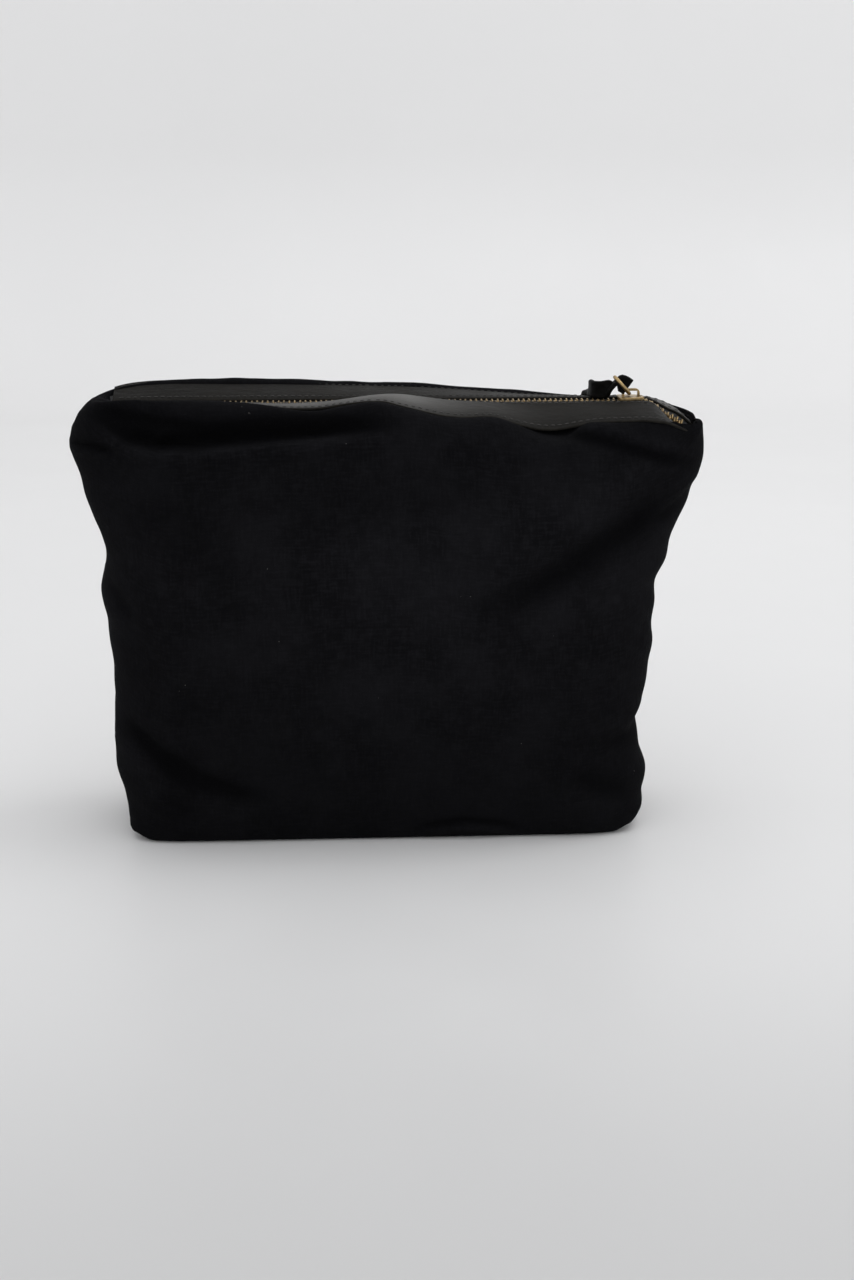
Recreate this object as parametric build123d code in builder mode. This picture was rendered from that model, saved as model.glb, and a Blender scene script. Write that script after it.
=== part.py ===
"""Zip-top wash bag: a soft canvas pouch on a boxed base, with leather strips along a brass zip.

Frame: +Z up, X along the zip, -Y to the front, the origin on the floor under the middle of the bag.
All sizes are in millimetres.  The zip is undone: its slider is parked at the right-hand end, the rows
of teeth lie side by side along the mouth, and only the short run behind the slider is meshed.
"""

from build123d import *
from collections import namedtuple
import math
import os

os.makedirs("parts", exist_ok=True)

# ---------------------------------------------------------------- bag body, driving dimensions
bag_height = 203.0          # floor to the top of the canvas roof
bag_width = 304.0           # across the shoulders
bag_depth = 104.0           # through the fullest part of the front and back
foot_in_x, foot_in_y = 78.0, 44.0           # the flat foot is this much smaller each way
foot_round = 6.0            # height of the rounded bottom edge
heel_in_x, heel_in_y = 57.0, 24.0           # and so is the outline above the rounded edge
heel_height = 16.0
roof_in_x = 34.0            # the flat top that the zip is set into is this much narrower
roof_depth = 56.0
shoulder_drop = 16.0        # shoulder below the roof
collar_drop = 6.0           # collar below the roof
body_corner = 22.0          # upright corners of the body
roof_corner = 10.0

canvas_wall = 1.2
lining_wall = 0.6
lining_gap = 0.3            # air between canvas and lining

# ---------------------------------------------------------------- leather strips and zip
facing_thickness = 1.3
facing_inner = 7.2          # from the middle of the zip to a strip's inner edge
facing_overlap = 3.0        # leather over the canvas beside the slot
slot_half = 22.0            # half the width of the slot in the roof
facing_lift = 0.3           # air under the leather where it can swing
piece_gap = 0.3             # air between a swinging run and the run beside it
grip_gap = 0.05             # air over and under the tape in a tooth's slit
slit_gap = 0.3              # air between the tape's beaded edge and the bottom of the slit

tape_thickness = 0.6
tape_outer = 16.0
tooth_pitch = 2.5
tooth_width = 1.15          # along the zip
tooth_length = 4.1          # across the zip
tooth_height = 2.6
tooth_bite = 1.5            # how much of a tooth clamps the tape
parted_gap = 0.6            # from the middle to a tooth's tip where the rows are parted
mesh_overlap = 1.2          # how far a tip passes the middle where the rows are meshed
left_run = 38.0             # zip at the left end that can't open
right_run = 30.0            # straight zip at the right end that can't open
zip_end_margin = 4.0        # canvas beyond the zip's left end

end_length = 29.5           # zip past the bend, where it runs down over the right shoulder
end_drop_angle = 57.0       # how steeply it dips there
end_roll_angle = 8.0        # how far it turns its face to the front
end_shift = 4.0             # how far it wanders to the front
end_facing_inner = 5.0      # edges of the leather strips and tapes at the very end
end_facing_front = 8.0      # width of the front leather there
end_facing_rear = 12.0      # and of the rear leather
end_tape_width = 8.0
tab_thickness = 1.2         # little canvas tabs over the zip's two ends
left_tab_length = 9.0
right_tab_length = 5.0
right_tab_past = 1.5        # how far the right tab passes the end of the tape
stop_length = 2.2

# ---------------------------------------------------------------- slider, ring and pull
plate_thickness = 1.1
plate_clearance = 0.35      # above and below the teeth
channel_clearance = 0.2     # beside the teeth
flange_thickness = 0.85
flange_length = 7.6
tape_slit = 1.2             # between upper and lower flanges
slider_length = 12.0
slider_tail_width = 7.0
post_width, post_length = 0.8, 2.6
bail_length, bail_width = 8.4, 1.8
bail_height, bail_wire = 3.6, 1.1
wire_radius = 0.85
ring_radius = 5.1           # to the middle of the wire
ring_lean = 42.0            # to the left of upright
ring_clearance = 0.4        # under the wire where it passes the bail
ring_offset = 0.8           # the wire sits this far left of the slider's middle

loop_clearance = 0.75        # between the wire and the loop
pull_hole = wire_radius + loop_clearance   # loop's inner radius
pull_leather = 1.1
pull_neck = 3.2             # across the strap at the ring
pull_back = 0.8             # the strap's middle is this far behind the ring's
pull_width = 7.5
pull_head = 5.2             # folded end beyond the ring, from the middle of the loop
pull_clearance = 0.9        # under the strap where it crosses the edge of the bag

# ---------------------------------------------------------------- places worked out from them
foot_width, foot_depth = bag_width - foot_in_x, bag_depth - foot_in_y
heel_width, heel_depth = bag_width - heel_in_x, bag_depth - heel_in_y
roof_width = bag_width - roof_in_x
facing_outer = slot_half + facing_overlap
facing_bottom = bag_height + facing_lift
facing_top = facing_bottom + facing_thickness
tape_top = facing_bottom
chain_z = tape_top - tape_thickness / 2
heel_of_tooth = parted_gap + tooth_length
channel_half = heel_of_tooth + channel_clearance
slider_half = channel_half + flange_thickness
plate_inner = tooth_height / 2 + plate_clearance
plate_top = chain_z + plate_inner + plate_thickness

zip_left = -roof_width / 2 + zip_end_margin
bend_x = roof_width / 2 - 13.0              # the zip starts to dip here
bend_radius = end_length / math.radians(end_drop_angle)
zip_right = bend_x + bend_radius * math.sin(math.radians(end_drop_angle))
open_left = zip_left + left_run             # the mouth opens between these two
open_right = bend_x - right_run
chain_left = zip_left + left_tab_length / 2 + piece_gap
slider_x = bend_x - slider_length / 2       # slider's middle when parked
slider_travel = slider_x - slider_length / 2 - chain_left - stop_length - piece_gap

Level = namedtuple("Level", "height width depth corner bow")
body_levels = [
    Level(0, foot_width, foot_depth, body_corner, 5),
    Level(foot_round, heel_width - 7, heel_depth - 7, body_corner, 6),
    Level(heel_height, heel_width, heel_depth, body_corner, 7),
    Level(bag_height * 0.3, heel_width + 8, bag_depth * 0.92, body_corner, 9),
    Level(bag_height * 0.58, heel_width + 19, bag_depth, body_corner, 10),
    Level(bag_height - shoulder_drop, bag_width, roof_depth + 26, body_corner, 9),
    Level(bag_height - collar_drop, bag_width - 8, roof_depth + 8, body_corner, 5),
    Level(bag_height, roof_width, roof_depth, roof_corner, 2),
]


def body_solid(inset):
    """The bag's outside, drawn in by inset all round: a smooth skin over its level outlines.

    A level's bow is how far its front and ends stand out between their corners.
    """
    with BuildPart() as body:
        for level in body_levels:
            half_w = level.width / 2 - inset
            half_d = level.depth / 2 - inset
            side_x, side_y = half_w - level.bow / 2, half_d - level.bow
            height = min(max(level.height, inset), bag_height - inset)
            with BuildSketch(Plane.XY.offset(height)) as outline:
                with BuildLine():
                    ThreePointArc((-side_x, -side_y), (0, -half_d), (side_x, -side_y))
                    ThreePointArc((side_x, -side_y), (half_w, 0), (side_x, side_y))
                    ThreePointArc((side_x, side_y), (0, half_d), (-side_x, side_y))
                    ThreePointArc((-side_x, side_y), (-half_w, 0), (-side_x, -side_y))
                make_face()
                fillet(outline.vertices(), min(level.corner, side_y * 0.8) - inset)
        loft()
    return body.part


def open_shell(outer_inset, inner_inset):
    """A closed-bottomed skin between two insets, with the slot for the zip cut through its roof."""
    with BuildPart() as shell:
        add(body_solid(outer_inset))
        add(body_solid(inner_inset), mode=Mode.SUBTRACT)
        slot_end = zip_right + 3
        with BuildSketch(Plane.XY.offset(bag_height + 1)) as slot:
            with Locations(((zip_left + slot_end) / 2, 0)):
                Rectangle(slot_end - zip_left, 2 * slot_half)
        extrude(amount=-shoulder_drop, mode=Mode.SUBTRACT)
    return shell.part


def write(part, name):
    part.label = name
    export_step(part, f"parts/{name}.step")


def front_and_rear(shell, front_name, rear_name):
    """Cuts a shell along the side and bottom seams, and writes its front and rear halves."""
    with BuildPart() as front:
        add(shell)
        split(bisect_by=Plane.XZ, keep=Keep.TOP)
    write(front.part, front_name)
    with BuildPart() as rear:
        add(shell)
        split(bisect_by=Plane.XZ, keep=Keep.BOTTOM)
    write(rear.part, rear_name)


canvas_shell = open_shell(0, canvas_wall)
front_and_rear(canvas_shell, "front_panel", "rear_panel")
lining_inset = canvas_wall + lining_gap
lining_shell = open_shell(lining_inset, lining_inset + lining_wall)
front_and_rear(lining_shell, "front_lining", "rear_lining")


# ---------------------------------------------------------------- the zip's line
def zip_frame(distance):
    """Place on the zip's line: (middle, along, front side, up), at a distance past the bend.

    Before the bend the line is straight.  Past it, it dips on an arc and rolls towards the front.
    """
    if distance <= 0:
        return Vector(bend_x + distance, 0, chain_z), Vector(1, 0, 0), Vector(0, -1, 0), Vector(0, 0, 1)
    share = distance / end_length
    dip = math.radians(end_drop_angle) * share
    roll = math.radians(end_roll_angle) * share**2
    middle = Vector(
        bend_x + bend_radius * math.sin(dip),
        -end_shift * share**2,
        chain_z - bend_radius * (1 - math.cos(dip)),
    )
    along = Vector(math.cos(dip), 0, -math.sin(dip))
    upright = Vector(math.sin(dip), 0, math.cos(dip))
    front = Vector(0, -1, 0) * math.cos(roll) - upright * math.sin(roll)
    up = upright * math.cos(roll) + Vector(0, -1, 0) * math.sin(roll)
    return middle, along, front, up


draw_in_start = -slider_length + post_length + tooth_width
draw_in_end = -tooth_pitch


def tip_at(distance):
    """Where a tooth's tip is, from the middle of the zip: parted, drawn in by the slider, meshed."""
    share = min(1.0, max(0.0, (distance - draw_in_start) / (draw_in_end - draw_in_start)))
    ease = share * share * (3 - 2 * share)
    return parted_gap - (mesh_overlap + parted_gap) * ease


def strip(start, edges, bottom, top, side):
    """A strip beside the zip, from x = start to the zip's end, skinned over cross-sections.

    edges gives its inner and outer edge, from the middle of the zip, at a distance past the bend;
    bottom and top are its faces from the chain's middle, and side is 1 for front and -1 for rear.
    """
    draw_in = [draw_in_start + (draw_in_end - draw_in_start) * k / 4 for k in range(5)]
    past_bend = [end_length * k / 12 for k in range(13)]
    with BuildPart() as made:
        for distance in [start - bend_x] + draw_in + past_bend:
            middle, along, front, up = zip_frame(distance)
            near, far = edges(distance)
            across = front * side
            origin = middle + across * ((near + far) / 2) + up * ((bottom + top) / 2)
            with BuildSketch(Plane(origin=origin, x_dir=across, z_dir=along)):
                Rectangle(far - near, top - bottom)
        loft(ruled=True)
    return made.part


def straight_strip(left, right, inner, outer, bottom, top, side):
    """A straight run of leather or tape beside the zip, between two places along it."""
    with BuildPart() as made:
        with BuildSketch(Plane.XY.offset(chain_z + bottom)):
            with Locations(((left + right) / 2, -side * (inner + outer) / 2)):
                Rectangle(right - left, outer - inner)
        extrude(amount=top - bottom)
    return made.part


tape_inner = heel_of_tooth - tooth_bite
tape_half = tape_thickness / 2
leather_low = facing_bottom - chain_z
leather_high = facing_top - chain_z


def narrowing(distance):
    """How far a strip has narrowed from its full width to its width at the zip's end, 0 to 1."""
    left_over = 1 - max(0.0, distance) / end_length
    return 1 - left_over**3


for name, side, end_width in (("front", 1, end_facing_front), ("rear", -1, end_facing_rear)):
    middle_left, middle_right = open_left + piece_gap / 2, open_right - piece_gap / 2
    end_left, end_right = open_left - piece_gap / 2, open_right + piece_gap / 2
    leather = (leather_low, leather_high, side)
    cloth = (-tape_half, tape_half, side)

    def facing_edges(distance):
        share = narrowing(distance)
        near = facing_inner + (end_facing_inner - facing_inner) * share
        far = facing_outer + (end_facing_inner + end_width - facing_outer) * share
        return near, far

    def tape_edges(distance):
        near = tape_inner + tip_at(distance) - parted_gap
        return near, tape_outer + (near + end_tape_width - tape_outer) * narrowing(distance)

    write(straight_strip(middle_left, middle_right, facing_inner, facing_outer, *leather), f"{name}_facing")
    left_end = straight_strip(zip_left, end_left, facing_inner, facing_outer, *leather)
    right_end = strip(end_right, facing_edges, *leather)
    write(Compound(children=[left_end, right_end]), f"{name}_facing_ends")

    write(straight_strip(middle_left, middle_right, tape_inner, tape_outer, *cloth), f"{name}_tape")
    left_end = straight_strip(zip_left, end_left, tape_inner, tape_outer, *cloth)
    right_end = strip(end_right, tape_edges, *cloth)
    write(Compound(children=[left_end, right_end]), f"{name}_tape_ends")


# ---------------------------------------------------------------- teeth and stops
slit_height = tape_thickness + 2 * grip_gap
slit_depth = tooth_bite + slit_gap


def tooth(tip, distance, side):
    """One brass tooth: a block with a rounded nose, slit at its heel where it grips the tape."""
    middle, along, front, up = zip_frame(distance)
    across = front * side
    seat = Plane(origin=middle + across * tip, x_dir=across, z_dir=up)
    with BuildPart(seat) as made:
        with Locations((tooth_length / 2, 0, 0)):
            Box(tooth_length, tooth_width, tooth_height)
        nose = made.faces().sort_by(Axis(seat.origin, across))[0]
        chamfer(nose.edges().filter_by(Axis(seat.origin, up)), tooth_width / 3)
        with Locations((tooth_length - slit_depth / 2, 0, 0)):
            Box(slit_depth, tooth_width * 2, slit_height, mode=Mode.SUBTRACT)
    return made.part


first_tooth = chain_left + stop_length + tooth_pitch / 2
chain_end = end_length + right_tab_past - right_tab_length - piece_gap - stop_length
tooth_count = int((bend_x + chain_end - tooth_width - first_tooth) / tooth_pitch)
for name, side, offset in (("front", 1, 0.0), ("rear", -1, tooth_pitch / 2)):
    swinging, fixed = [], []
    for k in range(tooth_count):
        x = first_tooth + offset + k * tooth_pitch
        one = tooth(tip_at(x - bend_x), x - bend_x, side)
        if open_left + tooth_width < x < open_right - tooth_width:
            swinging.append(one)
        else:
            fixed.append(one)
    write(Compound(children=swinging), f"{name}_teeth")
    write(Compound(children=fixed), f"{name}_teeth_ends")

# Stops: a folded brass tag at the left end of each row, and one across both rows at the right.
top_stops = []
for side in (1, -1):
    with BuildPart() as stop:
        stop_x = chain_left + stop_length / 2
        with Locations((stop_x, side * (parted_gap + tooth_length / 2), chain_z)):
            Box(stop_length, tooth_length, tooth_height)
        with Locations((stop_x, side * (heel_of_tooth - slit_depth / 2), chain_z)):
            Box(stop_length, slit_depth, slit_height, mode=Mode.SUBTRACT)
        fillet(stop.faces().sort_by(Axis.Z)[-1].edges().filter_by(Axis.X), tape_thickness / 2)
    top_stops.append(stop.part)
write(Compound(children=top_stops), "top_stops")

end_middle, end_along, end_front, end_up = zip_frame(chain_end + stop_length / 2)
with BuildPart(Plane(origin=end_middle, x_dir=end_along, z_dir=end_up)) as bottom_stop:
    bottom_half = tooth_length - mesh_overlap
    Box(stop_length, 2 * bottom_half, tooth_height)
    for sign in (1, -1):
        with Locations((0, sign * (bottom_half - slit_depth / 2), 0)):
            Box(stop_length, slit_depth, slit_height, mode=Mode.SUBTRACT)
write(bottom_stop.part, "bottom_stop")

# Canvas tabs over both ends of the tape, between the leather strips.
with BuildPart() as left_tab:
    with BuildSketch(Plane.XY.offset(tape_top + piece_gap)):
        with Locations((zip_left, 0)):
            RectangleRounded(left_tab_length, 2 * (facing_inner - piece_gap), tab_thickness)
    extrude(amount=tab_thickness)
write(left_tab.part, "left_end_tab")

tab_middle, tab_along, tab_front, tab_up = zip_frame(end_length + right_tab_past - right_tab_length / 2)
tab_rise = tab_up * (tape_half + 2 * piece_gap)
tab_seat = Plane(origin=tab_middle + tab_rise, x_dir=tab_along, z_dir=tab_up)
with BuildPart() as right_tab:
    with BuildSketch(tab_seat):
        RectangleRounded(right_tab_length, 2 * (end_facing_inner - tab_thickness), tab_thickness)
    extrude(amount=tab_thickness)
write(right_tab.part, "right_end_tab")


# ---------------------------------------------------------------- slider
nose = slider_x - slider_length / 2         # the slider's wide end, towards the open zip
with BuildPart() as slider:
    for low in (chain_z + plate_inner, chain_z - plate_inner - plate_thickness):
        with BuildSketch(Plane.XY.offset(low)) as plate:
            with BuildLine():
                Polyline(
                    (nose, -slider_half),
                    (nose + flange_length, -slider_half),
                    (nose + slider_length, -slider_tail_width / 2),
                    (nose + slider_length, slider_tail_width / 2),
                    (nose + flange_length, slider_half),
                    (nose, slider_half),
                    close=True,
                )
            make_face()
            fillet(plate.vertices(), plate_thickness)
        extrude(amount=plate_thickness)
    flange_drop = plate_inner - tape_slit / 2
    for side in (1, -1):
        for low in (chain_z + tape_slit / 2, chain_z - tape_slit / 2 - flange_drop):
            with BuildSketch(Plane.XY.offset(low)):
                with Locations((nose + flange_length / 2, side * (slider_half - flange_thickness / 2))):
                    Rectangle(flange_length - 2 * plate_thickness, flange_thickness)
            extrude(amount=flange_drop)
    with BuildSketch(Plane.XY.offset(chain_z - plate_inner)):
        with Locations((nose + post_length / 2 + post_width / 2, 0)):
            SlotOverall(post_length, post_width)
    extrude(amount=2 * plate_inner)
    outer_edges = slider.faces().sort_by(Axis.Z)[-1].edges()
    fillet(outer_edges, plate_thickness / 3)
write(slider.part, "slider_body")

with BuildPart() as bail:
    with BuildSketch(Plane.XZ) as arch:
        with Locations((slider_x, plate_top + bail_height / 2)):
            Rectangle(bail_length, bail_height)
        fillet(arch.vertices().group_by(Axis.Y)[-1], bail_height * 0.6)
        with Locations((slider_x, plate_top + (bail_height - bail_wire) / 2)):
            Rectangle(bail_length - 2 * bail_wire, bail_height - bail_wire, mode=Mode.SUBTRACT)
    extrude(amount=bail_width / 2, both=True)
    fillet(bail.faces().filter_by(Axis.Y).edges().group_by(Axis.Z)[-1], bail_wire / 4)
write(bail.part, "slider_bail")

# ---------------------------------------------------------------- ring, through the bail
lean = math.radians(ring_lean)
ring_up = Vector(-math.sin(lean), 0, math.cos(lean))
ring_pivot = Vector(slider_x - ring_offset, 0, plate_top + ring_clearance + wire_radius)
ring_axis = Vector(math.cos(lean), 0, math.sin(lean))
with BuildPart(Plane(origin=ring_pivot + ring_up * ring_radius, z_dir=ring_axis)) as ring:
    Torus(ring_radius, wire_radius)
write(ring.part, "pull_ring")

# ---------------------------------------------------------------- leather pull, looped on the ring
pull_pivot = ring_pivot + ring_up * (2 * ring_radius)
loop_seat = Plane(origin=pull_pivot + Vector(0, pull_back, 0), x_dir=(1, 0, 0), z_dir=(0, -1, 0))
loop_outer = pull_hole + pull_leather
with BuildPart() as pull:
    with BuildSketch(loop_seat):
        Circle(loop_outer)
        with Locations((pull_head / 2, -loop_outer + pull_leather)):
            Rectangle(pull_head, 2 * pull_leather)
    extrude(amount=pull_neck / 2, both=True)
    with BuildSketch(loop_seat):
        Circle(pull_hole)
    extrude(amount=pull_neck, both=True, mode=Mode.SUBTRACT)
    # The strap leaves the loop to the left, turns to the rear and drapes over the bag's edge.
    strap_half = pull_leather
    loop_left = pull_pivot.X - loop_outer
    edge_z = facing_top + strap_half + pull_clearance
    stations = [
        (Vector(loop_left + strap_half, pull_back, pull_pivot.Z - strap_half), Vector(-1, 0.0, -0.2)),
        (Vector(loop_left - 2.5, pull_back + 2.5, pull_pivot.Z - 2.2), Vector(-0.7, 0.7, -0.25)),
        (Vector(loop_left - loop_outer - 2.0, 10.0, pull_pivot.Z - 4.0), Vector(-0.35, 1, -0.2)),
        (Vector(loop_left - loop_outer - 4.2, facing_outer - 5, edge_z + 1.6), Vector(-0.2, 1, -0.35)),
        (Vector(loop_left - loop_outer - 5.4, facing_outer + 2, edge_z - 0.4), Vector(-0.15, 1, -0.6)),
        (Vector(loop_left - loop_outer - 6.2, facing_outer + 9, edge_z - 6.0), Vector(-0.1, 0.8, -0.8)),
    ]
    for number, (place, heading) in enumerate(stations):
        level = heading.cross(Vector(0, 0, 1)).normalized()
        width = pull_neck if number == 0 else pull_width
        with BuildSketch(Plane(origin=place, x_dir=level, z_dir=heading)):
            Rectangle(width, 2 * strap_half)
    loft(ruled=True)
write(pull.part, "pull_tab")
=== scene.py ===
"""Zip-top wash bag in black canvas, with leather strips along a brass zip.

Every length in the tables and functions below is in millimetres, in the part's own frame: X along the
zip, -Y towards the front, Z up from the floor.  Meshes are written in metres.
"""

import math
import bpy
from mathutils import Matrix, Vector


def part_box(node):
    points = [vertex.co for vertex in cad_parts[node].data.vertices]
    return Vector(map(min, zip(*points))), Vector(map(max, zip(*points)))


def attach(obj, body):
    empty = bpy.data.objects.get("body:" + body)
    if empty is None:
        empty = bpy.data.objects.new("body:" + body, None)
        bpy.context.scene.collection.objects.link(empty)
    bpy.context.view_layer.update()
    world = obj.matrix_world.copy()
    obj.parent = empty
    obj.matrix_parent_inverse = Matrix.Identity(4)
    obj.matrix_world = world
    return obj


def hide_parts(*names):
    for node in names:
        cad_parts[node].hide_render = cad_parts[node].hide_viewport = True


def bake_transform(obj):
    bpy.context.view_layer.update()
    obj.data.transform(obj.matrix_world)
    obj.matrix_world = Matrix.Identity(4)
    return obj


bl_info = {
    "name": "Zip-top wash bag",
    "version": (1, 0, 0),
    "blender": (4, 5, 0),
    "location": "View3D > Sidebar > Wash bag",
    "description": "Builds a soft canvas wash bag with leather strips, a brass zip and a leather pull",
    "category": "Object",
}

import bpy
import numpy as np
from mathutils import Vector

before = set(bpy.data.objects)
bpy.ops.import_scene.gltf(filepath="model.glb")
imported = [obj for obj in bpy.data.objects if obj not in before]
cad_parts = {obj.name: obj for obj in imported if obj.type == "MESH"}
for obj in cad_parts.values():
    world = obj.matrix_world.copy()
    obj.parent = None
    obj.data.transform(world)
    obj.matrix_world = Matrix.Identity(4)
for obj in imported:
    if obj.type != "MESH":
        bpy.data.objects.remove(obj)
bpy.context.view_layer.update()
MM = 0.001

# ------------------------------------------------------------------ the zip's line, as the part has it
CHAIN_Z = 203.0             # middle of the teeth along the straight run
BEND_X = 122.0              # the zip starts to dip here
ZIP_LEFT = -131.0           # left end of the tape
END_LENGTH = 29.5           # zip past the bend
END_DROP = math.radians(57.0)               # turn downwards over that end
END_ROLL = math.radians(30.0)               # and roll to the front
END_SAG = 4.7               # extra dip of the soft zip past the bend
SAG_PACE = 2.2              # the dip is complete after 1 / 2.2 of that end
END_SHIFT = 4.0             # drift to the front
BEND_RADIUS = END_LENGTH / END_DROP
CHAIN_END = 23.3            # last tooth, past the bend
TOOTH_PITCH, TOOTH_LENGTH, TOOTH_WIDTH = 2.5, 4.1, 1.25
# from the tape's left end: the part under the tab, a gap, and the top stop's length
TAB_COVER, TAB_GAP, STOP_LENGTH = 4.5, 0.3, 2.2
PARTED = 0.6                # a tip's distance from the middle where the rows are parted
MESHED = -1.2               # and where they are meshed
TAPE_GRIP = 1.5             # tape inside a tooth
LEATHER = 1.3               # thickness of the leather
LEATHER_INNER = 7.2         # from the middle of the zip to a strip's inner edge
INNER_END = 4.6             # the same at the right end of the zip
LEATHER_TOP = 1.6           # a strip's top face above the middle of the teeth
STRIP_REACH = 24.6          # from the middle of the zip to a strip's outer edge
TAPE = 0.6                  # thickness of the tape
STRIP_LEFT, STRIP_RIGHT = -126.5, 147.0     # a leather strip's ends, along the zip
OPEN_LEFT, OPEN_RIGHT = -93.0, 92.0         # the mouth opens between these
MOUTH_MIDDLE = -4.0         # the lips are made in a left and a right half that meet here
WIDE_LEFT, WIDE_RIGHT = -26.0, 22.0         # fully open between these
CANVAS = 1.2                # thickness of the canvas
LINING_DEPTH, LINING = 3.0, 0.6             # the lining under the canvas face, and its thickness
RING_WIRE = 0.85            # half the ring's wire
PULL = 2.0                  # thickness of the pull's leather
TAB = 1.1                   # thickness of a tab
STITCH_ROWS = 0.12, 0.89    # places across a strip, from its inner edge to its outer one


def cubic(start, start_slope, end, end_slope, s):
    """The cubic that goes from start to end as s goes from 0 to 1, with given slopes at both ends."""
    return (
        start * (1 + 2 * s) * (1 - s) ** 2
        + start_slope * s * (1 - s) ** 2
        + end * s**2 * (3 - 2 * s)
        + end_slope * s**2 * (s - 1)
    )


def smooth_through(knots, at):
    """Values of a smooth curve through (place, value) knots: cubic pieces whose slope at each knot is
    the slope between its two neighbours."""
    place, value = np.array(knots, float).T
    slope = np.gradient(value, place)
    at = np.clip(np.asarray(at, float), place[0], place[-1])
    k = np.clip(np.searchsorted(place, at, side="right") - 1, 0, len(place) - 2)
    gap = place[k + 1] - place[k]
    return cubic(value[k], slope[k] * gap, value[k + 1], slope[k + 1] * gap, (at - place[k]) / gap)


def ease(s):
    """0 to 1 with flat ends: the cubic 3 s^2 - 2 s^3, held outside 0 to 1."""
    s = np.clip(s, 0.0, 1.0)
    return s * s * (3 - 2 * s)


def unit(vectors, least=0.0):
    """Vectors made one long, each divided by its length or by least if it is shorter than that."""
    return vectors / np.maximum(np.linalg.norm(vectors, axis=-1, keepdims=True), least)


def distance_along(points):
    """Distance so far, at each point of a line of points."""
    return np.concatenate([[0], np.cumsum(np.linalg.norm(np.diff(points, axis=0), axis=-1))])


def zip_line(x):
    """Middle, along, front and up directions of the zip at a place x along it.

    Straight up to the bend; past it an arc that dips, drifts and rolls to the front.  Past the bend x
    counts distance along the arc.
    """
    x = np.asarray(x, float)
    past = np.maximum(x - BEND_X, 0.0)
    share = past / END_LENGTH
    dip, roll = END_DROP * share, END_ROLL * ease(share * 1.5)
    zero = np.zeros_like(past)
    middle = np.stack(
        [
            np.minimum(x, BEND_X) + BEND_RADIUS * np.sin(dip),
            -END_SHIFT * share**2,
            CHAIN_Z - BEND_RADIUS * (1 - np.cos(dip)) - END_SAG * ease(share * SAG_PACE),
        ],
        -1,
    )
    pace = np.clip(share * SAG_PACE, 0.0, 1.0)
    dip = dip + np.arctan(6 * pace * (1 - pace) * SAG_PACE / END_LENGTH * END_SAG)
    along = np.stack([np.cos(dip), zero, -np.sin(dip)], -1)
    upright = np.stack([np.sin(dip), zero, np.cos(dip)], -1)
    ahead = np.array([0.0, -1.0, 0.0])
    c, s = np.cos(roll)[..., None], np.sin(roll)[..., None]
    return middle, along, ahead * c - upright * s, upright * c + ahead * s


def tip_at(x):
    """A tooth tip's distance from the zip's middle: parted, drawn in by the slider, then meshed."""
    return PARTED + (MESHED - PARTED) * ease((np.asarray(x, float) - BEND_X + 8.25) / 5.75)


# ------------------------------------------------------------------ leather strips
# (place along the zip, height of a strip's outer edge), and how proud its crown stands of a flat strip
FRONT_EDGE = [
    (-131, 203.0), (-100, 203.8), (-82, 204.8), (-66, 206.0), (-54, 205.8), (-41, 205.0), (-30, 205.2),
    (-18, 206.9), (-6, 208.0), (0, 207.7), (6.5, 206.0), (16, 203.6), (26, 201.3), (34, 200.4),
    (51, 200.1), (57, 198.2), (65, 195.9), (72, 194.6), (80, 194.8), (89, 196.4), (98, 197.7),
    (108, 198.1), (122, 198.2), (130, 196.9), (137, 194.0), (144, 190.5), (151.5, 186.0),
]
FRONT_CROWN = [
    (-131, 0.6), (-70, 1.2), (-41, 0.8), (-18, 2.9), (-2, 5.3), (7, 6.4), (18, 5.5), (35, 3.1),
    (52, 1.6), (84, 1.2), (112, 0.8), (151.5, 0.3),
]
REAR_EDGE = [
    (-131, 208.4), (-118, 210.4), (-70, 210.7), (-22, 209.4), (0, 208.7), (16, 208.1), (35, 206.6),
    (54, 205.0), (74, 203.4), (93, 202.8), (120, 202.3), (132, 201.2), (141, 197.4), (151.5, 189.0),
]
REAR_CROWN = [(-131, 0.3), (-60, 0.6), (0, 0.8), (82, 0.4), (120, 0.5), (151.5, 0.3)]


def strip_edges(side, x):
    """Inner and outer edges of a leather strip's top face, and its crown, at places x along the zip.

    The corners of the outer edge are rounded at both ends, and the front strip is narrower at the
    left, where the canvas rolls over it.
    """
    middle, _, front, up = zip_line(x)
    across = front * side
    past = np.maximum(x - BEND_X, 0.0) / END_LENGTH
    near = LEATHER_INNER + (INNER_END - LEATHER_INNER) * ease(past)
    inner = middle + across * near[:, None] + up * LEATHER_TOP
    edge, crown = (FRONT_EDGE, FRONT_CROWN) if side > 0 else (REAR_EDGE, REAR_CROWN)
    left_round = 8.0 * (1 - np.sqrt(1 - np.clip((STRIP_LEFT + 9.0 - x) / 9.6, 0, 1) ** 2))
    right_round = 11.0 * (1 - np.sqrt(1 - np.clip((x - STRIP_RIGHT + 13.0) / 13.4, 0, 1) ** 2))
    reach = STRIP_REACH - 7.5 * ease(past) - left_round - right_round
    if side > 0:
        reach = reach - 4.0 * ease((-70.0 - x) / 35.0)
    outer = np.stack(
        [middle[:, 0] + 1.5 * past, middle[:, 1] - side * reach, smooth_through(edge, x)], -1
    )
    return inner, outer, smooth_through(crown, x)


def strip_surface(side, x, v):
    """Top face of a strip: from its inner edge (v = 0) to its outer edge (v = 1) a straight line,
    raised by crown times a hump that is steepest at the inner edge."""
    inner, outer, crown = strip_edges(side, x)
    v = np.asarray(v, float)
    hump = 3.1 * v**0.8 * (1 - v) ** 1.6
    point = inner[:, None, :] * (1 - v[None, :, None]) + outer[:, None, :] * v[None, :, None]
    point[..., 2] += crown[:, None] * hump[None, :]
    return point


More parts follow.
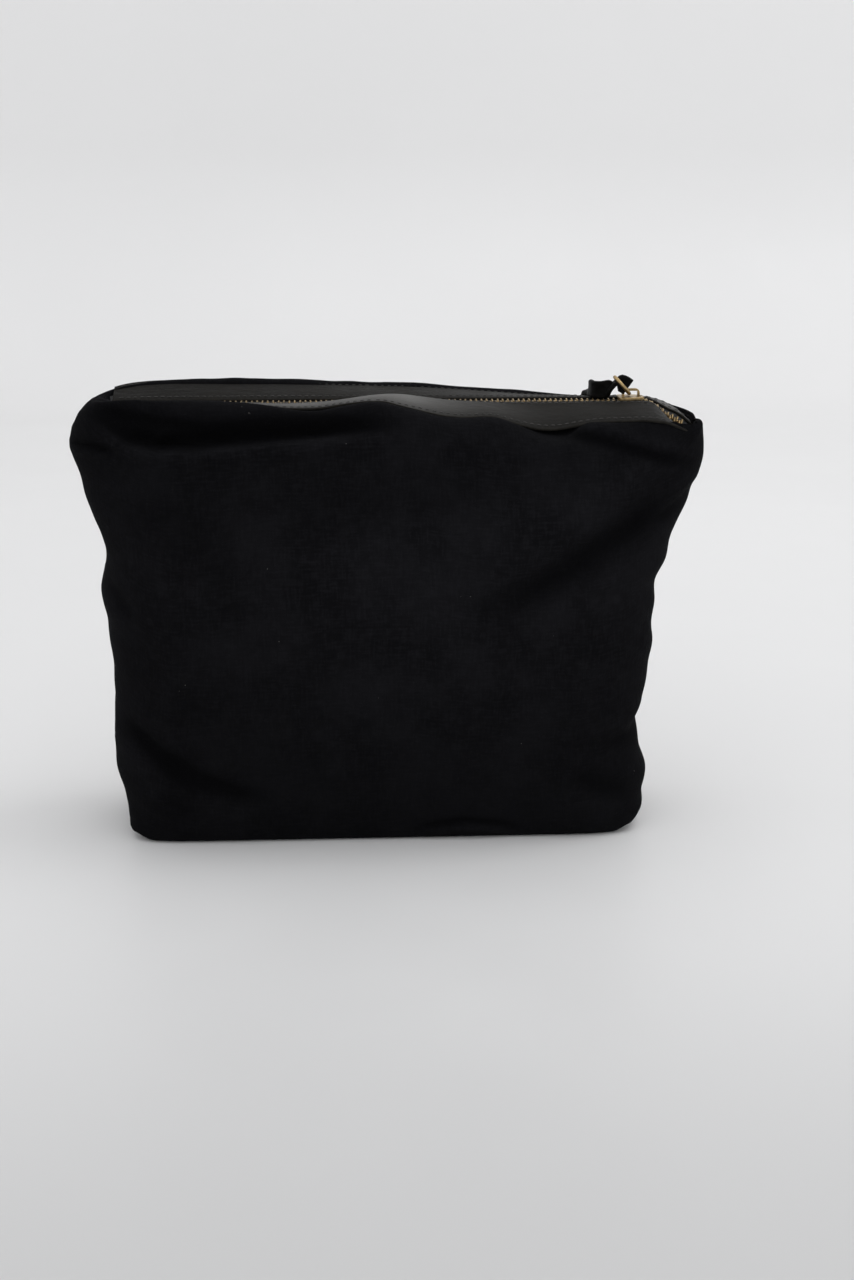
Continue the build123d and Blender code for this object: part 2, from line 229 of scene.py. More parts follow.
# how much painted highlight each strip gets along the zip: pale patches painted where the leather reflects
# the light
FRONT_PAINTED_HIGHLIGHT = [
    (-131, 0.0), (-75, 0.1), (-50, 0.6), (-20, 0.6), (0, 0.9), (10, 1.0), (24, 0.6), (36, 0.36),
    (52, 0.20), (68, 0.11), (103, 0.06), (151, 0.1),
]
REAR_PAINTED_HIGHLIGHT = [
    (-131, 0.0), (-60, 0.02), (0, 0.06), (60, 0.10), (90, 0.16), (116, 0.5), (140, 0.6), (151, 0.3),
]


def painted_highlight_of(side, x, v):
    """Painted highlight, standing in for light reflected by the leather: by place along the zip, strongest
    on the crown of the strip.
    """
    along = smooth_through(FRONT_PAINTED_HIGHLIGHT if side > 0 else REAR_PAINTED_HIGHLIGHT, x)
    across = np.exp(-(((v - 0.5) / (0.42 if side > 0 else 0.9)) ** 2))
    return along[:, None] * across[None, :]


# ------------------------------------------------------------------ the canvas body
# height, half-depth, squareness of the level outline
BODY_LEVELS = [
    (0.9, 0.02, 14.0), (0.5, 15.0, 14.0), (0.3, 30.0, 13.0), (1.2, 36.8, 12.0), (5.0, 38.8, 9.0),
    (12.0, 40.8, 6.4), (25.0, 43.4, 5.4), (45.0, 46.0, 4.6), (70.0, 48.6, 4.1), (98.0, 50.6, 3.7),
    (118.0, 51.2, 3.5), (138.0, 50.6, 3.3), (158.0, 48.4, 3.1), (173.0, 45.0, 2.9), (184.0, 41.4, 2.8),
]
# (height, half-width) of the side seams
LEFT_SIDE = [
    (-1, 113.0), (0.9, 117.5), (3.6, 122.4), (9, 124.4), (14, 125.2), (24, 126.8), (35, 129.4),
    (45, 129.5), (55, 129.8), (65, 129.3), (75, 128.9), (85, 128.7), (95, 130.2), (105, 130.9),
    (115, 132.4), (125, 133.0), (134.6, 130.4), (144, 132.1), (154, 136.0), (163.5, 139.8),
    (173, 141.7), (181.5, 144.7), (185, 145.7), (189, 145.5),
]
RIGHT_SIDE = [
    (-1, 110.0), (0.9, 113.5), (3.6, 118.4), (9, 123.4), (20, 124.4), (30, 125.5), (40.6, 121.8),
    (51, 121.6), (61, 122.4), (71, 124.3), (81.5, 125.7), (91.6, 128.2), (101.7, 127.7),
    (111.7, 129.2), (121.6, 128.6), (131.4, 133.3), (141, 135.1), (151, 138.7), (160.6, 143.4),
    (170, 146.7), (179, 149.4), (184, 149.6), (189, 149.3),
]
SLOT_HALF, SLOT_RIGHT = 19.5, 145.5         # the slot in the roof: half-width and right end
CREST_LEFT, CREST_RIGHT, CREST_HALF = 132.5, 147.0, 27.0    # outline of the crest, seen from above
END_HEIGHTS = 206.9, 195.4                  # of the crest over the left and right seams
# (x, height) of the crest, the fold where the canvas turns over to meet the strips
FRONT_CREST = [
    (-152, 200.0), (-137, 205.0), (-129, 208.2), (-121, 208.8), (-112, 209.4), (-101, 209.3),
    (-83, 208.9), (-66, 208.1), (-54, 206.9), (-41, 205.1), (-30, 205.1), (-18, 206.6), (-6, 207.6),
    (0, 207.3), (6.5, 205.6), (16, 203.2), (26, 200.9), (34, 200.0), (51, 199.7), (57, 197.8),
    (65, 195.5), (72, 194.2), (80, 194.4), (89, 196.0), (98, 197.3), (108, 197.7), (122, 197.9),
    (130, 197.2), (137, 196.2), (146, 194.2), (152, 192.5),
]
REAR_CREST = [
    (-152, 200.0), (-137, 205.6), (-127, 209.8), (-118, 211.3), (-70, 211.5), (-22, 210.2),
    (-3, 209.6), (16, 209.0), (35, 207.4), (54, 205.8), (64, 205.3), (74, 204.2), (93, 203.3),
    (120, 202.8), (132, 201.7), (140, 199.9), (144, 198.4), (148, 196.6), (152, 194.5),
]


def outline(left, right, depth, power, turn):
    """Level outline: |x / half-width|^power + |y / depth|^power = 1, by an angle that is 0 at the
    right seam and half a turn at the left one."""
    c, s = np.cos(turn), np.sin(turn)
    reach = (np.abs(c) ** power + np.abs(s) ** power) ** (-1 / power)
    return np.where(c > 0, right, left) * c * reach, depth * s * reach


def body_levels(rows):
    """Height, left and right half-width, half-depth and squareness of that many level outlines, the
    level table smoothly filled in and evenly spaced along its length."""
    levels = np.array(BODY_LEVELS)
    step = np.hypot(np.diff(levels[:, 0]), np.diff(levels[:, 1]))
    place = np.concatenate([[0], np.cumsum(step)])
    at = np.linspace(0, place[-1], rows)
    z, depth, power = (smooth_through(np.stack([place, levels[:, k]], -1), at) for k in range(3))
    return z, smooth_through(LEFT_SIDE, z), smooth_through(RIGHT_SIDE, z), depth, power


def slot_edge(side, turn):
    """Edge of the slot in the roof, tucked under the strips: a long rounded outline that follows
    the underside of the leather, and the zip itself at the two ends."""
    x, depth = outline(-STRIP_LEFT + 0.8, SLOT_RIGHT, SLOT_HALF, 10.0, turn)
    place = x.copy()
    past = x > BEND_X
    place[past] = BEND_X + BEND_RADIUS * np.arcsin(np.clip((x[past] - BEND_X) / BEND_RADIUS, 0, 0.84))
    middle = zip_line(place)[0]
    sheet = strip_surface(side, place, np.array([0.72, 0.76]))[:, 0, :]
    share = np.clip(depth / SLOT_HALF, 0, 1) ** 2
    z = (middle[:, 2] - 0.9) * (1 - share) + (sheet[:, 2] - LEATHER - 0.9) * share
    return np.stack([x, middle[:, 1] - side * depth, z], -1)


def crease(x, z, line, depth, above, below, lip=0.0):
    """Depth of a fold along a line of (x, z) points: a hollow that falls off like a bell, with its
    own width on each side, a raised lip below it, and both ends faded out."""
    line = np.array(line, float)
    nearest = np.full(x.shape, 1e9)
    signed, share = np.zeros(x.shape), np.zeros(x.shape)
    run = np.concatenate([[0], np.cumsum(np.hypot(*np.diff(line, axis=0).T))])
    for k in range(len(line) - 1):
        a, d = line[k], line[k + 1] - line[k]
        t = np.clip(((x - a[0]) * d[0] + (z - a[1]) * d[1]) / (d @ d), 0, 1)
        ox, oz = x - a[0] - t * d[0], z - a[1] - t * d[1]
        far = np.hypot(ox, oz)
        closer = far < nearest
        nearest = np.where(closer, far, nearest)
        signed = np.where(closer, np.where(d[0] * oz - d[1] * ox > 0, far, -far), signed)
        share = np.where(closer, (run[k] + t * (run[k + 1] - run[k])) / run[-1], share)
    width = np.where(signed > 0, above, below)
    fade = ease(share * 4) * ease((1 - share) * 3)
    hollow = np.exp(-((signed / width) ** 2))
    raised = lip * np.exp(-(((signed + 1.8 * below) / (1.2 * below)) ** 2))
    return depth * fade * (hollow - raised)


def widened(hollow, steps=4):
    """Hollows spread over their neighbours, so that a layer inside follows them with room to spare:
    the largest of each point and the four beside it, taken again and again, then evened out."""
    for step in range(steps * 2):
        padded = np.pad(hollow, 1, mode="edge")
        around = np.stack(
            [padded[1:-1, 1:-1], padded[:-2, 1:-1], padded[2:, 1:-1], padded[1:-1, :-2], padded[1:-1, 2:]]
        )
        hollow = around.max(0) if step < steps else around.mean(0)
    return hollow


def crumple(a, b, seed, longest, shortest, count, height):
    """Soft unevenness of stuffed cloth: a sum of plane waves in random directions, from the longest
    wave to the shortest, each as tall as it is long in proportion, sharpened a little into ridges."""
    random = np.random.default_rng(seed)
    total = np.zeros(np.shape(a))
    for k in range(count):
        length = longest * (shortest / longest) ** (k / max(1, count - 1))
        angle, start = random.uniform(0, math.pi), random.uniform(0, 2 * math.pi)
        wave = np.sin(2 * math.pi * (a * math.cos(angle) + b * math.sin(angle)) / length + start)
        total += (wave - 0.35 * wave * np.abs(wave)) * length / longest
    return total * height / math.sqrt(count)


def normals_of(points):
    """Unit normals of a grid of points: the cross product of its two directions."""
    return unit(np.cross(np.gradient(points, axis=0), np.gradient(points, axis=1)), 1e-9)


def outward(points, side):
    """Normals that point out of the body, for a grid that runs up and to the right."""
    return -side * normals_of(points)


def sunk(points, side, depth, roof_rows):
    """The same surface moved inwards by depth: along its normals on the wall, turning to straight
    down over the roof, and drawn towards the middle at both ends of the zip."""
    n = outward(points, side)
    crest = len(points) - roof_rows
    share = ease((np.arange(len(points)) - crest) / (0.4 * roof_rows))[:, None, None]
    n = unit(n * (1 - share) + np.array([0.0, 0.0, 1.0]) * share)
    moved = points - n * depth
    x = points[..., 0]
    moved[..., 0] -= np.sign(x) * depth * 0.9 * share[..., 0] * ease((np.abs(x) - 110) / 16)
    moved[0, :, 1] = 0.0
    moved[:, [0, -1], 1] = 0.0
    return moved


# folds as crease() takes them: line of (x, height), depth, width above, width below, lip
FRONT_FOLDS = [
    ([(-142, 203), (-128, 199.5), (-115, 192.5), (-102, 190.4), (-82, 191.4), (-48, 194.4),
      (-16, 196.6), (16, 198.2)], 8.5, 7.0, 2.6, 0.30),
    ([(-132, 205.5), (-116, 201.8), (-98, 199.2), (-80, 199.4)], 2.6, 2.6, 3.4, 0.2),
    ([(-108, 190), (-100, 195.5), (-92, 197.6)], -2.4, 2.6, 3.0, 0.0),
    ([(-147, 188.4), (-136, 187.7), (-120, 186.4)], 2.4, 2.4, 1.5, 0.5),
    ([(150, 177.6), (136, 179.2), (124, 182.4), (104, 189.0), (84, 194.4), (50, 197.2)],
     2.8, 3.8, 2.4, 0.4),
    ([(140, 168), (125, 159), (112, 151), (90, 138), (70, 126.5), (50, 117.4), (28, 113)],
     4.6, 8.0, 9.5, 0.45),
    ([(148, 170), (134, 158), (122, 149)], 1.8, 4.0, 3.0, 0.3),
    ([(-130, 66), (-120, 59.3), (-107, 45), (-91, 34.3), (-71, 26.9), (-48, 24)], 3.4, 4.4, 5.4, 0.4),
    ([(-100, 50), (-97.5, 26), (-98.4, 7)], 2.0, 9.0, 8.0, 0.2),
    ([(8, 4), (20, 7.6), (38, 9.8), (54, 7.6), (70, 3)], 2.0, 2.4, 1.8, 0.6),
    ([(84, 34), (100, 26), (118, 24)], 1.8, 6.0, 5.0, 0.4),
    ([(-134, 130), (-124, 121), (-114, 106)], 1.8, 4.0, 4.0, 0.4),
    ([(128, 62), (116, 50), (98, 46)], 2.0, 5.0, 4.0, 0.4),
    ([(-60, 150), (-20, 160), (30, 168), (60, 176)], 1.5, 14.0, 12.0, 0.4),
    ([(-118, 168), (-90, 150), (-66, 120)], 1.3, 12.0, 10.0, 0.4),
]
REAR_FOLDS = [
    ([(-140, 196), (-100, 190), (-50, 194), (10, 192)], 2.6, 8.0, 6.0, 0.3),
    ([(136, 178), (108, 164), (70, 152), (30, 148)], 3.0, 10.0, 8.0, 0.3),
    ([(-134, 120), (-108, 96), (-76, 84)], 2.4, 9.0, 8.0, 0.3),
    ([(118, 60), (92, 38), (60, 26)], 2.2, 7.0, 7.0, 0.3),
    ([(-110, 44), (-84, 28), (-50, 22)], 2.0, 6.0, 6.0, 0.3),
    ([(-30, 6), (0, 9), (34, 6)], 1.4, 3.0, 2.0, 0.4),
]


def painted_shade_share(points, side):
    """Share of painted shade on the cloth, 0 to 1: full in the folds, where shade falls, and more towards
    the base and the ends than in the middle of the wall, which is left lighter as painted light."""
    x, z = points[..., 0], points[..., 2]
    folds = sum(crease(x, z, *fold) for fold in (FRONT_FOLDS if side > 0 else REAR_FOLDS))
    # painted light: the middle of the wall is left lighter than the base and the ends
    lit_middle = np.exp(-(((x - 28) / 150) ** 2) - ((z - 128) / 82) ** 2)
    return np.clip(folds / 6.0 + 0.7 * (1 - lit_middle), 0.0, 1.0)


def canvas_points(side, columns, wall_rows, roof_rows, inset=0.0):
    """Face of one half of the body, side 1 for the front and -1 for the rear: the outer one, or one
    that lies inset under it.

    Rows go from the seam under the base, across the base, up the wall by the level table, then over
    the crest and in under the strip: two cubic pieces that meet, level, at the crest line.  Columns
    go from the left seam to the right one.  Each point is then moved along its normal: in by the
    folds, out and in by two sums of waves and the puckers beside the seams, and in at the seams
    and round the edge of the base.
    """
    turn = np.linspace(math.pi, 0, columns)
    z, left, right, depth, power = (v[:, None] for v in body_levels(wall_rows))
    x, y = outline(left, right, depth, power, turn[None, :])
    wall = np.stack([x, -side * y, z + 0 * x], -1)

    low = wall[-1]
    low_up = unit(wall[-1] - wall[-2])
    crest_x, crest_y = outline(CREST_LEFT, CREST_RIGHT, CREST_HALF, 4.6, turn)
    crest_z = smooth_through(FRONT_CREST if side > 0 else REAR_CREST, crest_x)
    ends = np.clip(crest_y / CREST_HALF, 0, 1) ** 1.5
    end_z = np.where(crest_x < 0, *END_HEIGHTS)
    crest = np.stack([crest_x, -side * crest_y, crest_z * ends + end_z * (1 - ends)], -1)
    edge = slot_edge(side, turn)
    inward = edge - crest
    inward[:, 2] = 0
    s = np.linspace(0, 1, roof_rows // 2 + 1)[1:, None, None]
    rise = np.linalg.norm(crest - low, axis=-1, keepdims=True)
    over = unit(inward, 1e-6)
    steep, flat = 0.95 + 0.3 * ends[:, None], 0.7 + 0.25 * ends[:, None]
    first = cubic(low, low_up * rise * steep, crest, over * rise * flat, s)
    span = np.linalg.norm(edge - crest, axis=-1, keepdims=True)
    second = cubic(crest, over * rise * 0.7, edge, over * span * 0.9, s)
    points = np.concatenate([wall, first, second], 0)
    n = outward(points, side)
    away = np.abs(points[..., 1])
    px, pz = points[..., 0], points[..., 2]
    arch = np.concatenate(
        [np.zeros(wall_rows), np.linspace(0, 1, len(points) - wall_rows)]
    )[:, None]
    shown = ease(away / 14.0) * ease(pz / 6.0)
    hollow = sum(
        crease(px, pz, *fold) for fold in (FRONT_FOLDS if side > 0 else REAR_FOLDS)
    ) * shown
    if inset:
        hollow = widened(np.maximum(hollow, 0.0))
    soft = crumple(px, pz + 0.6 * away, 11 if side > 0 else 23, 120.0, 34.0, 14, 1.15)
    fine = crumple(px, pz + 0.6 * away, 5 if side > 0 else 29, 30.0, 9.0, 16, 0.34)
    quiet = ease((1 - arch) * 1.6) * ease((pz - 0.5) / 5.0)
    pucker = 0.35 * np.sin(pz * 0.9 + px * 0.2) * np.exp(-((away / 5.0) ** 2))
    seam = 0.9 * np.exp(-((away / 1.5) ** 2)) * ease((pz - 2) / 10)
    joined = ease(away / 9.0)
    points = points + n * (
        -hollow * ease((1 - arch) * 2.5) + (soft + fine) * quiet * joined + pucker * quiet - seam
    )[..., None]
    corner = np.exp(-(((pz - 2.2) / 1.1) ** 2)) * ease((np.abs(px) - 106) / 8) * (away < 34)
    points = points - n * (0.7 * corner)[..., None]
    points[0, :, 1] = 0.0
    points[:, [0, -1], 1] = 0.0
    if inset:
        points = sunk(points, side, inset, roof_rows)
    points[..., 2] = np.maximum(points[..., 2], inset + 0.15)
    return points


# ------------------------------------------------------------------ writing meshes
def write_mesh(name, points, faces, material, uv=None, sharp=35.0, values=None):
    """An object from points in millimetres and quads or triangles given as index arrays."""
    mesh = bpy.data.meshes.new(name)
    mesh.vertices.add(len(points))
    mesh.vertices.foreach_set("co", (np.asarray(points) * MM).astype(np.float32).ravel())
    counts = np.concatenate([np.full(len(f), f.shape[1]) for f in faces]).astype(np.int32)
    corners = np.concatenate([f.ravel() for f in faces]).astype(np.int32)
    mesh.loops.add(len(corners))
    mesh.loops.foreach_set("vertex_index", corners)
    mesh.polygons.add(len(counts))
    starts = np.concatenate([[0], np.cumsum(counts)[:-1]]).astype(np.int32)
    mesh.polygons.foreach_set("loop_start", starts)
    if uv is not None:
        layer = mesh.uv_layers.new(name="UVMap")
        layer.data.foreach_set("uv", np.asarray(uv)[corners].astype(np.float32).ravel())
    for key, value in (values or {}).items():
        attribute = mesh.attributes.new(key, "FLOAT", "POINT")
        attribute.data.foreach_set("value", np.asarray(value, np.float32).ravel())
    mesh.update(calc_edges=True)
    mesh.validate()
    mesh.shade_smooth()
    mesh.set_sharp_from_angle(angle=math.radians(sharp))
    mesh.materials.append(material)
    made = bpy.data.objects.new(name, mesh)
    bpy.context.scene.collection.objects.link(made)
    return made


def grid_faces(rows, columns, start=0, wrap=False, flip=False):
    """Quads of a grid whose points are numbered row by row; wrap joins the last column to the first."""
    i, j = np.meshgrid(np.arange(rows - 1), np.arange(columns if wrap else columns - 1), indexing="ij")
    after = (j + 1) % columns
    quads = np.stack(
        [i * columns + j, i * columns + after, (i + 1) * columns + after, (i + 1) * columns + j], -1
    ).reshape(-1, 4)
    return (quads[:, ::-1] if flip else quads) + start


def lengths_of(points):
    """Distances along the rows and columns of a grid of points, as two coordinates per point."""
    across = np.linalg.norm(np.diff(points, axis=1), axis=-1)
    upward = np.linalg.norm(np.diff(points, axis=0), axis=-1)
    u = np.concatenate([np.zeros((len(points), 1)), np.cumsum(across, 1)], 1)
    u -= u[:, u.shape[1] // 2][:, None]
    v = np.concatenate([np.zeros((1, points.shape[1])), np.cumsum(upward, 0)], 0)
    return np.stack([u, v], -1) * MM


def write_sheet(name, outer, inner, material, flip, values=None):
    """A closed piece of cloth: its outer face, its inner face, and the narrow wall between their rims."""
    rows, columns = outer.shape[:2]
    count = rows * columns
    number = np.arange(count).reshape(rows, columns)
    rim = np.concatenate(
        [number[0, :-1], number[:-1, -1], number[-1, :0:-1], number[:0:-1, 0]]
    )
    after = np.roll(rim, -1)
    wall = np.stack([rim, rim + count, after + count, after], -1)
    if flip:
        wall = wall[:, ::-1]
    faces = [
        grid_faces(rows, columns, flip=flip),
        grid_faces(rows, columns, start=count, flip=not flip),
        wall,
    ]
    points = np.concatenate([outer.reshape(-1, 3), inner.reshape(-1, 3)])
    uv = np.concatenate([lengths_of(outer).reshape(-1, 2)] * 2)
    both = {k: np.concatenate([np.ravel(v)] * 2) for k, v in (values or {}).items()}
    return write_mesh(name, points, faces, material, uv=uv, sharp=60, values=both)


def ribbon_loops(top, thickness, round_steps=4):
    """Closed cross-sections of a strip from its top face (rows along it, columns across it): top face,
    a half-round outer edge, the underside, and a half-round inner edge."""
    n = normals_of(top)
    half = thickness / 2
    mid = top - n * half
    side_a, side_b = unit(mid[:, 0] - mid[:, 1]), unit(mid[:, -1] - mid[:, -2])
    angle = np.linspace(0, math.pi, round_steps + 2)[1:-1][None, :, None]
    edge_b = mid[:, -1:] + half * (n[:, -1:] * np.cos(angle) + side_b[:, None] * np.sin(angle))
    edge_a = mid[:, :1] + half * (-n[:, :1] * np.cos(angle) + side_a[:, None] * np.sin(angle))
    return np.concatenate([mid + n * half, edge_b, (mid - n * half)[:, ::-1], edge_a], 1)


def write_tube(name, loops, material, uv, values):
    """A closed piece from cross-sections (rows of points, each row a closed loop), capped at both ends."""
    rows, columns = loops.shape[:2]
    first, last = loops[0].mean(0), loops[-1].mean(0)
    points = np.concatenate([loops.reshape(-1, 3), first[None], last[None]])
    k = np.arange(columns)
    after = (k + 1) % columns
    start_cap = np.stack([after, k, np.full(columns, rows * columns)], -1)
    base = (rows - 1) * columns
    end_cap = np.stack([base + k, base + after, np.full(columns, rows * columns + 1)], -1)
    sides = grid_faces(rows, columns, wrap=True)[:, ::-1]
    faces = [sides, start_cap[:, ::-1], end_cap[:, ::-1]]
    full_uv = np.concatenate([np.reshape(uv, (-1, 2)), uv[0].mean(0)[None], uv[-1].mean(0)[None]])
    more = {
        key: np.concatenate([np.ravel(v), [np.ravel(v)[0]], [np.ravel(v)[-1]]])
        for key, v in values.items()
    }
    return write_mesh(name, points, faces, material, uv=full_uv, sharp=40, values=more)


def write_ribbon(name, top, thickness, material, round_steps=4, painted_highlight=None):
    """A strip of leather or tape from its top face, with its edges marked for wear and, where a highlight
    share is given, its top face marked for how strongly a painted highlight is laid on it."""
    loops = ribbon_loops(top, thickness, round_steps)
    rows, columns = loops.shape[:2]
    uv = np.meshgrid(distance_along(top[:, 0]), distance_along(loops[0]), indexing="ij")
    uv = np.stack(uv, -1) * MM
    width = top.shape[1]
    rim = np.zeros(columns)
    rim[width:width + round_steps] = 1.0
    rim[2 * width + round_steps:] = 1.0
    rim[[0, width - 1, width + round_steps, 2 * width + round_steps - 1]] = 0.6
    values = {"rim": np.repeat(rim[None], rows, 0), "painted_highlight": np.zeros((rows, columns))}
    if painted_highlight is not None:
        values["painted_highlight"][:, :width] = painted_highlight
    return write_tube(name, loops, material, uv, values)


def write_many(name, shape, faces, places, axes, material, sharp=35):
    """Copies of one small closed shape, each at its own place with its own three axes."""
    points = np.einsum("pk,nkc->npc", shape, axes) + places[:, None, :]
    count = len(shape)
    offsets = (np.arange(len(places)) * count)[:, None, None]
    all_faces = [(f[None] + offsets).reshape(-1, f.shape[1]) for f in faces]
    return write_mesh(name, points.reshape(-1, 3), all_faces, material, sharp=sharp)


# ------------------------------------------------------------------ materials
class Shades:
    """Short helpers that add nodes to one material."""

    def __init__(self, name):
        self.material = bpy.data.materials.new(name)
        self.material.use_nodes = True
        self.nodes = self.material.node_tree.nodes
        self.links = self.material.node_tree.links
        self.nodes.clear()
        self.shader = self.nodes.new("ShaderNodeBsdfPrincipled")
        out = self.nodes.new("ShaderNodeOutputMaterial")
        self.links.new(self.shader.outputs["BSDF"], out.inputs["Surface"])
        coordinates = self.nodes.new("ShaderNodeTexCoord")
        self.place, self.cloth = coordinates.outputs["Object"], coordinates.outputs["UV"]

    def put(self, socket, value):
        if isinstance(value, bpy.types.NodeSocket):
            self.links.new(value, socket)
        elif isinstance(value, tuple) and len(value) == 3 and socket.type == "RGBA":
            socket.default_value = (*value, 1.0)
        else:
            socket.default_value = value

    def set(self, **values):
        self.fill(self.shader, values)

    def fill(self, node, inputs):
        """Set or link a node's inputs by their names, written with _ for a space."""
        for key, value in inputs.items():
            self.put(node.inputs[key.replace("_", " ")], value)
        return node

    def add(self, kind, **inputs):
        return self.fill(self.nodes.new(f"ShaderNode{kind}"), inputs)

    def scaled(self, vector, scale):
        return self.add("Mapping", Vector=vector, Scale=scale).outputs["Vector"]

    def noise(self, vector, scale, detail=2.0, rough=0.5):
        node = self.add("TexNoise", Vector=vector, Scale=scale, Detail=detail, Roughness=rough)
        return node.outputs["Fac"]

    def cells(self, vector, scale, feature="F1"):
        node = self.add("TexVoronoi", Vector=vector, Scale=scale)
        node.feature = feature
        return node.outputs["Distance"]

    def threads(self, vector, scale, direction):
        node = self.add(
            "TexWave", Vector=vector, Scale=scale, Distortion=0.6, Detail=1.0, Detail_Scale=0.6
        )
        node.bands_direction = direction
        return node.outputs["Fac"]

    def math(self, operation, a, b=0.0, c=0.0):
        node = self.nodes.new("ShaderNodeMath")
        node.operation = operation
        for socket, value in zip(node.inputs, (a, b, c)):
            self.put(socket, value)
        return node.outputs[0]

    def span(self, value, low, high, to_low=0.0, to_high=1.0):
        node = self.add(
            "MapRange", Value=value, From_Min=low, From_Max=high, To_Min=to_low, To_Max=to_high
        )
        node.interpolation_type = "SMOOTHSTEP"
        return node.outputs["Result"]

    def mix(self, share, a, b):
        node = self.nodes.new("ShaderNodeMix")
        node.data_type = "RGBA"
        self.put(node.inputs["Factor"], share)
        self.put(node.inputs["A"], a)
        self.put(node.inputs["B"], b)
        return next(o for o in node.outputs if o.type == "RGBA")

    def mottled(self, value, low, high, colour, dark, pale):
        """The colour times dark where value is low, turning to the colour times pale where it is high."""
        return self.mix(self.span(value, low, high), lighter(colour, dark), lighter(colour, pale))

    def value(self, name):
        node = self.nodes.new("ShaderNodeAttribute")
        node.attribute_name = name
        return node.outputs["Fac"]

    def bump(self, height, distance, strength=1.0, below=None):
        node = self.add("Bump", Strength=strength, Distance=distance, Height=height)
        if below is not None:
            self.put(node.inputs["Normal"], below)
        return node.outputs["Normal"]


def material_called(name, make):
    """The material of that name, made the first time it is asked for."""
    return bpy.data.materials.get(name) or make(name)


def lighter(colour, times):
    return tuple(min(1.0, channel * times) for channel in colour)


def canvas_material(name="black canvas"):
    """Matt woven cotton: crossed threads, uneven dye, slubs, a little pale lint, and painted shade in the
    folds and towards the base and the ends.
    """
    black = tuple(bpy.context.scene.wash_bag_colours.canvas)
    m = Shades(name)
    warp = m.threads(m.cloth, 760.0, "X")
    weft = m.threads(m.cloth, 700.0, "Y")
    weave = m.math("ADD", warp, weft)
    slub_x = m.noise(m.scaled(m.cloth, (900.0, 130.0, 1.0)), 1.0, 2.0)
    slub_y = m.noise(m.scaled(m.cloth, (130.0, 900.0, 1.0)), 1.0, 2.0)
    slubs = m.math("ADD", slub_x, slub_y)
    cloud = m.noise(m.place, 26.0, 5.0, 0.62)
    rubbed = m.noise(m.place, 120.0, 4.0, 0.7)
    dye = m.mottled(cloud, 0.35, 0.68, black, 0.72, 1.35)
    dye = m.mix(m.span(rubbed, 0.45, 0.75, 0.0, 0.45), dye, lighter(black, 1.9))
    dye = m.mix(m.span(slubs, 0.9, 1.25, 0.0, 0.4), dye, lighter(black, 2.1))
    # painted shade: the colour darkened in the folds and towards the base and the ends
    dye = m.mix(m.value("hollow"), dye, lighter(black, 0.42))
    seam = m.span(m.value("seam"), 0.2, 1.0, 0.0, 0.5)
    dye = m.mix(seam, dye, (0.018, 0.010, 0.009))
    fleck = m.math("LESS_THAN", m.cells(m.place, 260.0), 0.055)
    rare = m.math("GREATER_THAN", m.noise(m.place, 55.0, 1.0), 0.69)
    lint = m.math("MULTIPLY", fleck, rare)
    dye = m.mix(m.math("MULTIPLY", lint, 0.5), dye, (0.20, 0.19, 0.18))
    height = m.math("ADD", m.math("MULTIPLY", weave, 0.4), m.math("MULTIPLY", slubs, 1.4))
    fuzz = m.bump(m.noise(m.place, 900.0, 2.0), 0.0004, 0.5)
    m.set(
        Base_Color=dye,
        Roughness=0.95,
        Specular_IOR_Level=0.03,
        Sheen_Weight=0.004,
        Sheen_Roughness=0.55,
        Sheen_Tint=(0.62, 0.62, 0.70),
        Normal=m.bump(height, 0.00016, 0.8, below=fuzz),
    )
    return m.material


def lining_material(name="charcoal lining"):
    """Plain woven lining, a little cloudy, with a soft sheen."""
    m = Shades(name)
    black = tuple(bpy.context.scene.wash_bag_colours.lining)
    weave = m.math("ADD", m.threads(m.cloth, 900.0, "X"), m.threads(m.cloth, 900.0, "Y"))
    cloud = m.noise(m.place, 40.0, 4.0)
    m.set(
        Base_Color=m.mottled(cloud, 0.3, 0.7, black, 0.8, 1.25),
        Roughness=0.85,
        Specular_IOR_Level=0.3,
        Sheen_Weight=0.15,
        Normal=m.bump(weave, 0.0001, 0.7),
    )
    return m.material


def leather_material(name="dark brown leather", gloss=0.0, depth=1.0):
    """Smooth dyed leather: fine pebbled grain, pores, edges rubbed paler, and a pale painted highlight where
    the strips reflect the light.  depth darkens the dye, and gloss smooths the surface."""
    brown = lighter(bpy.context.scene.wash_bag_colours.leather, depth)
    m = Shades(name)
    grain = m.cells(m.place, 1500.0, "DISTANCE_TO_EDGE")
    pores = m.noise(m.place, 2600.0, 2.0)
    cloud = m.noise(m.place, 60.0, 4.0, 0.6)
    creases = m.noise(m.scaled(m.place, (140.0, 420.0, 420.0)), 1.0, 3.0, 0.6)
    tone = m.mottled(cloud, 0.35, 0.7, brown, 0.75, 1.3)
    worn = m.math("MULTIPLY", m.value("rim"), m.span(m.noise(m.place, 300.0, 3.0), 0.35, 0.7, 0.25, 1.0))
    tone = m.mix(worn, tone, lighter(brown, 2.2))
    # painted highlight: pale grey laid on where the strips reflect the light
    tone = m.mix(m.value("painted_highlight"), tone, (0.150, 0.147, 0.142))
    rough = m.math("ADD", m.span(cloud, 0.3, 0.7, 0.46 - gloss, 0.60 - gloss), m.math("MULTIPLY", worn, 0.2))
    height = m.math("ADD", m.span(grain, 0.0, 0.25), m.math("MULTIPLY", pores, 0.6))
    low = m.bump(creases, 0.0008, 0.5)
    m.set(
        Base_Color=tone,
        Roughness=rough,
        Specular_IOR_Level=0.06,
        Normal=m.bump(height, 0.00006, 0.8, below=low),
    )
    return m.material


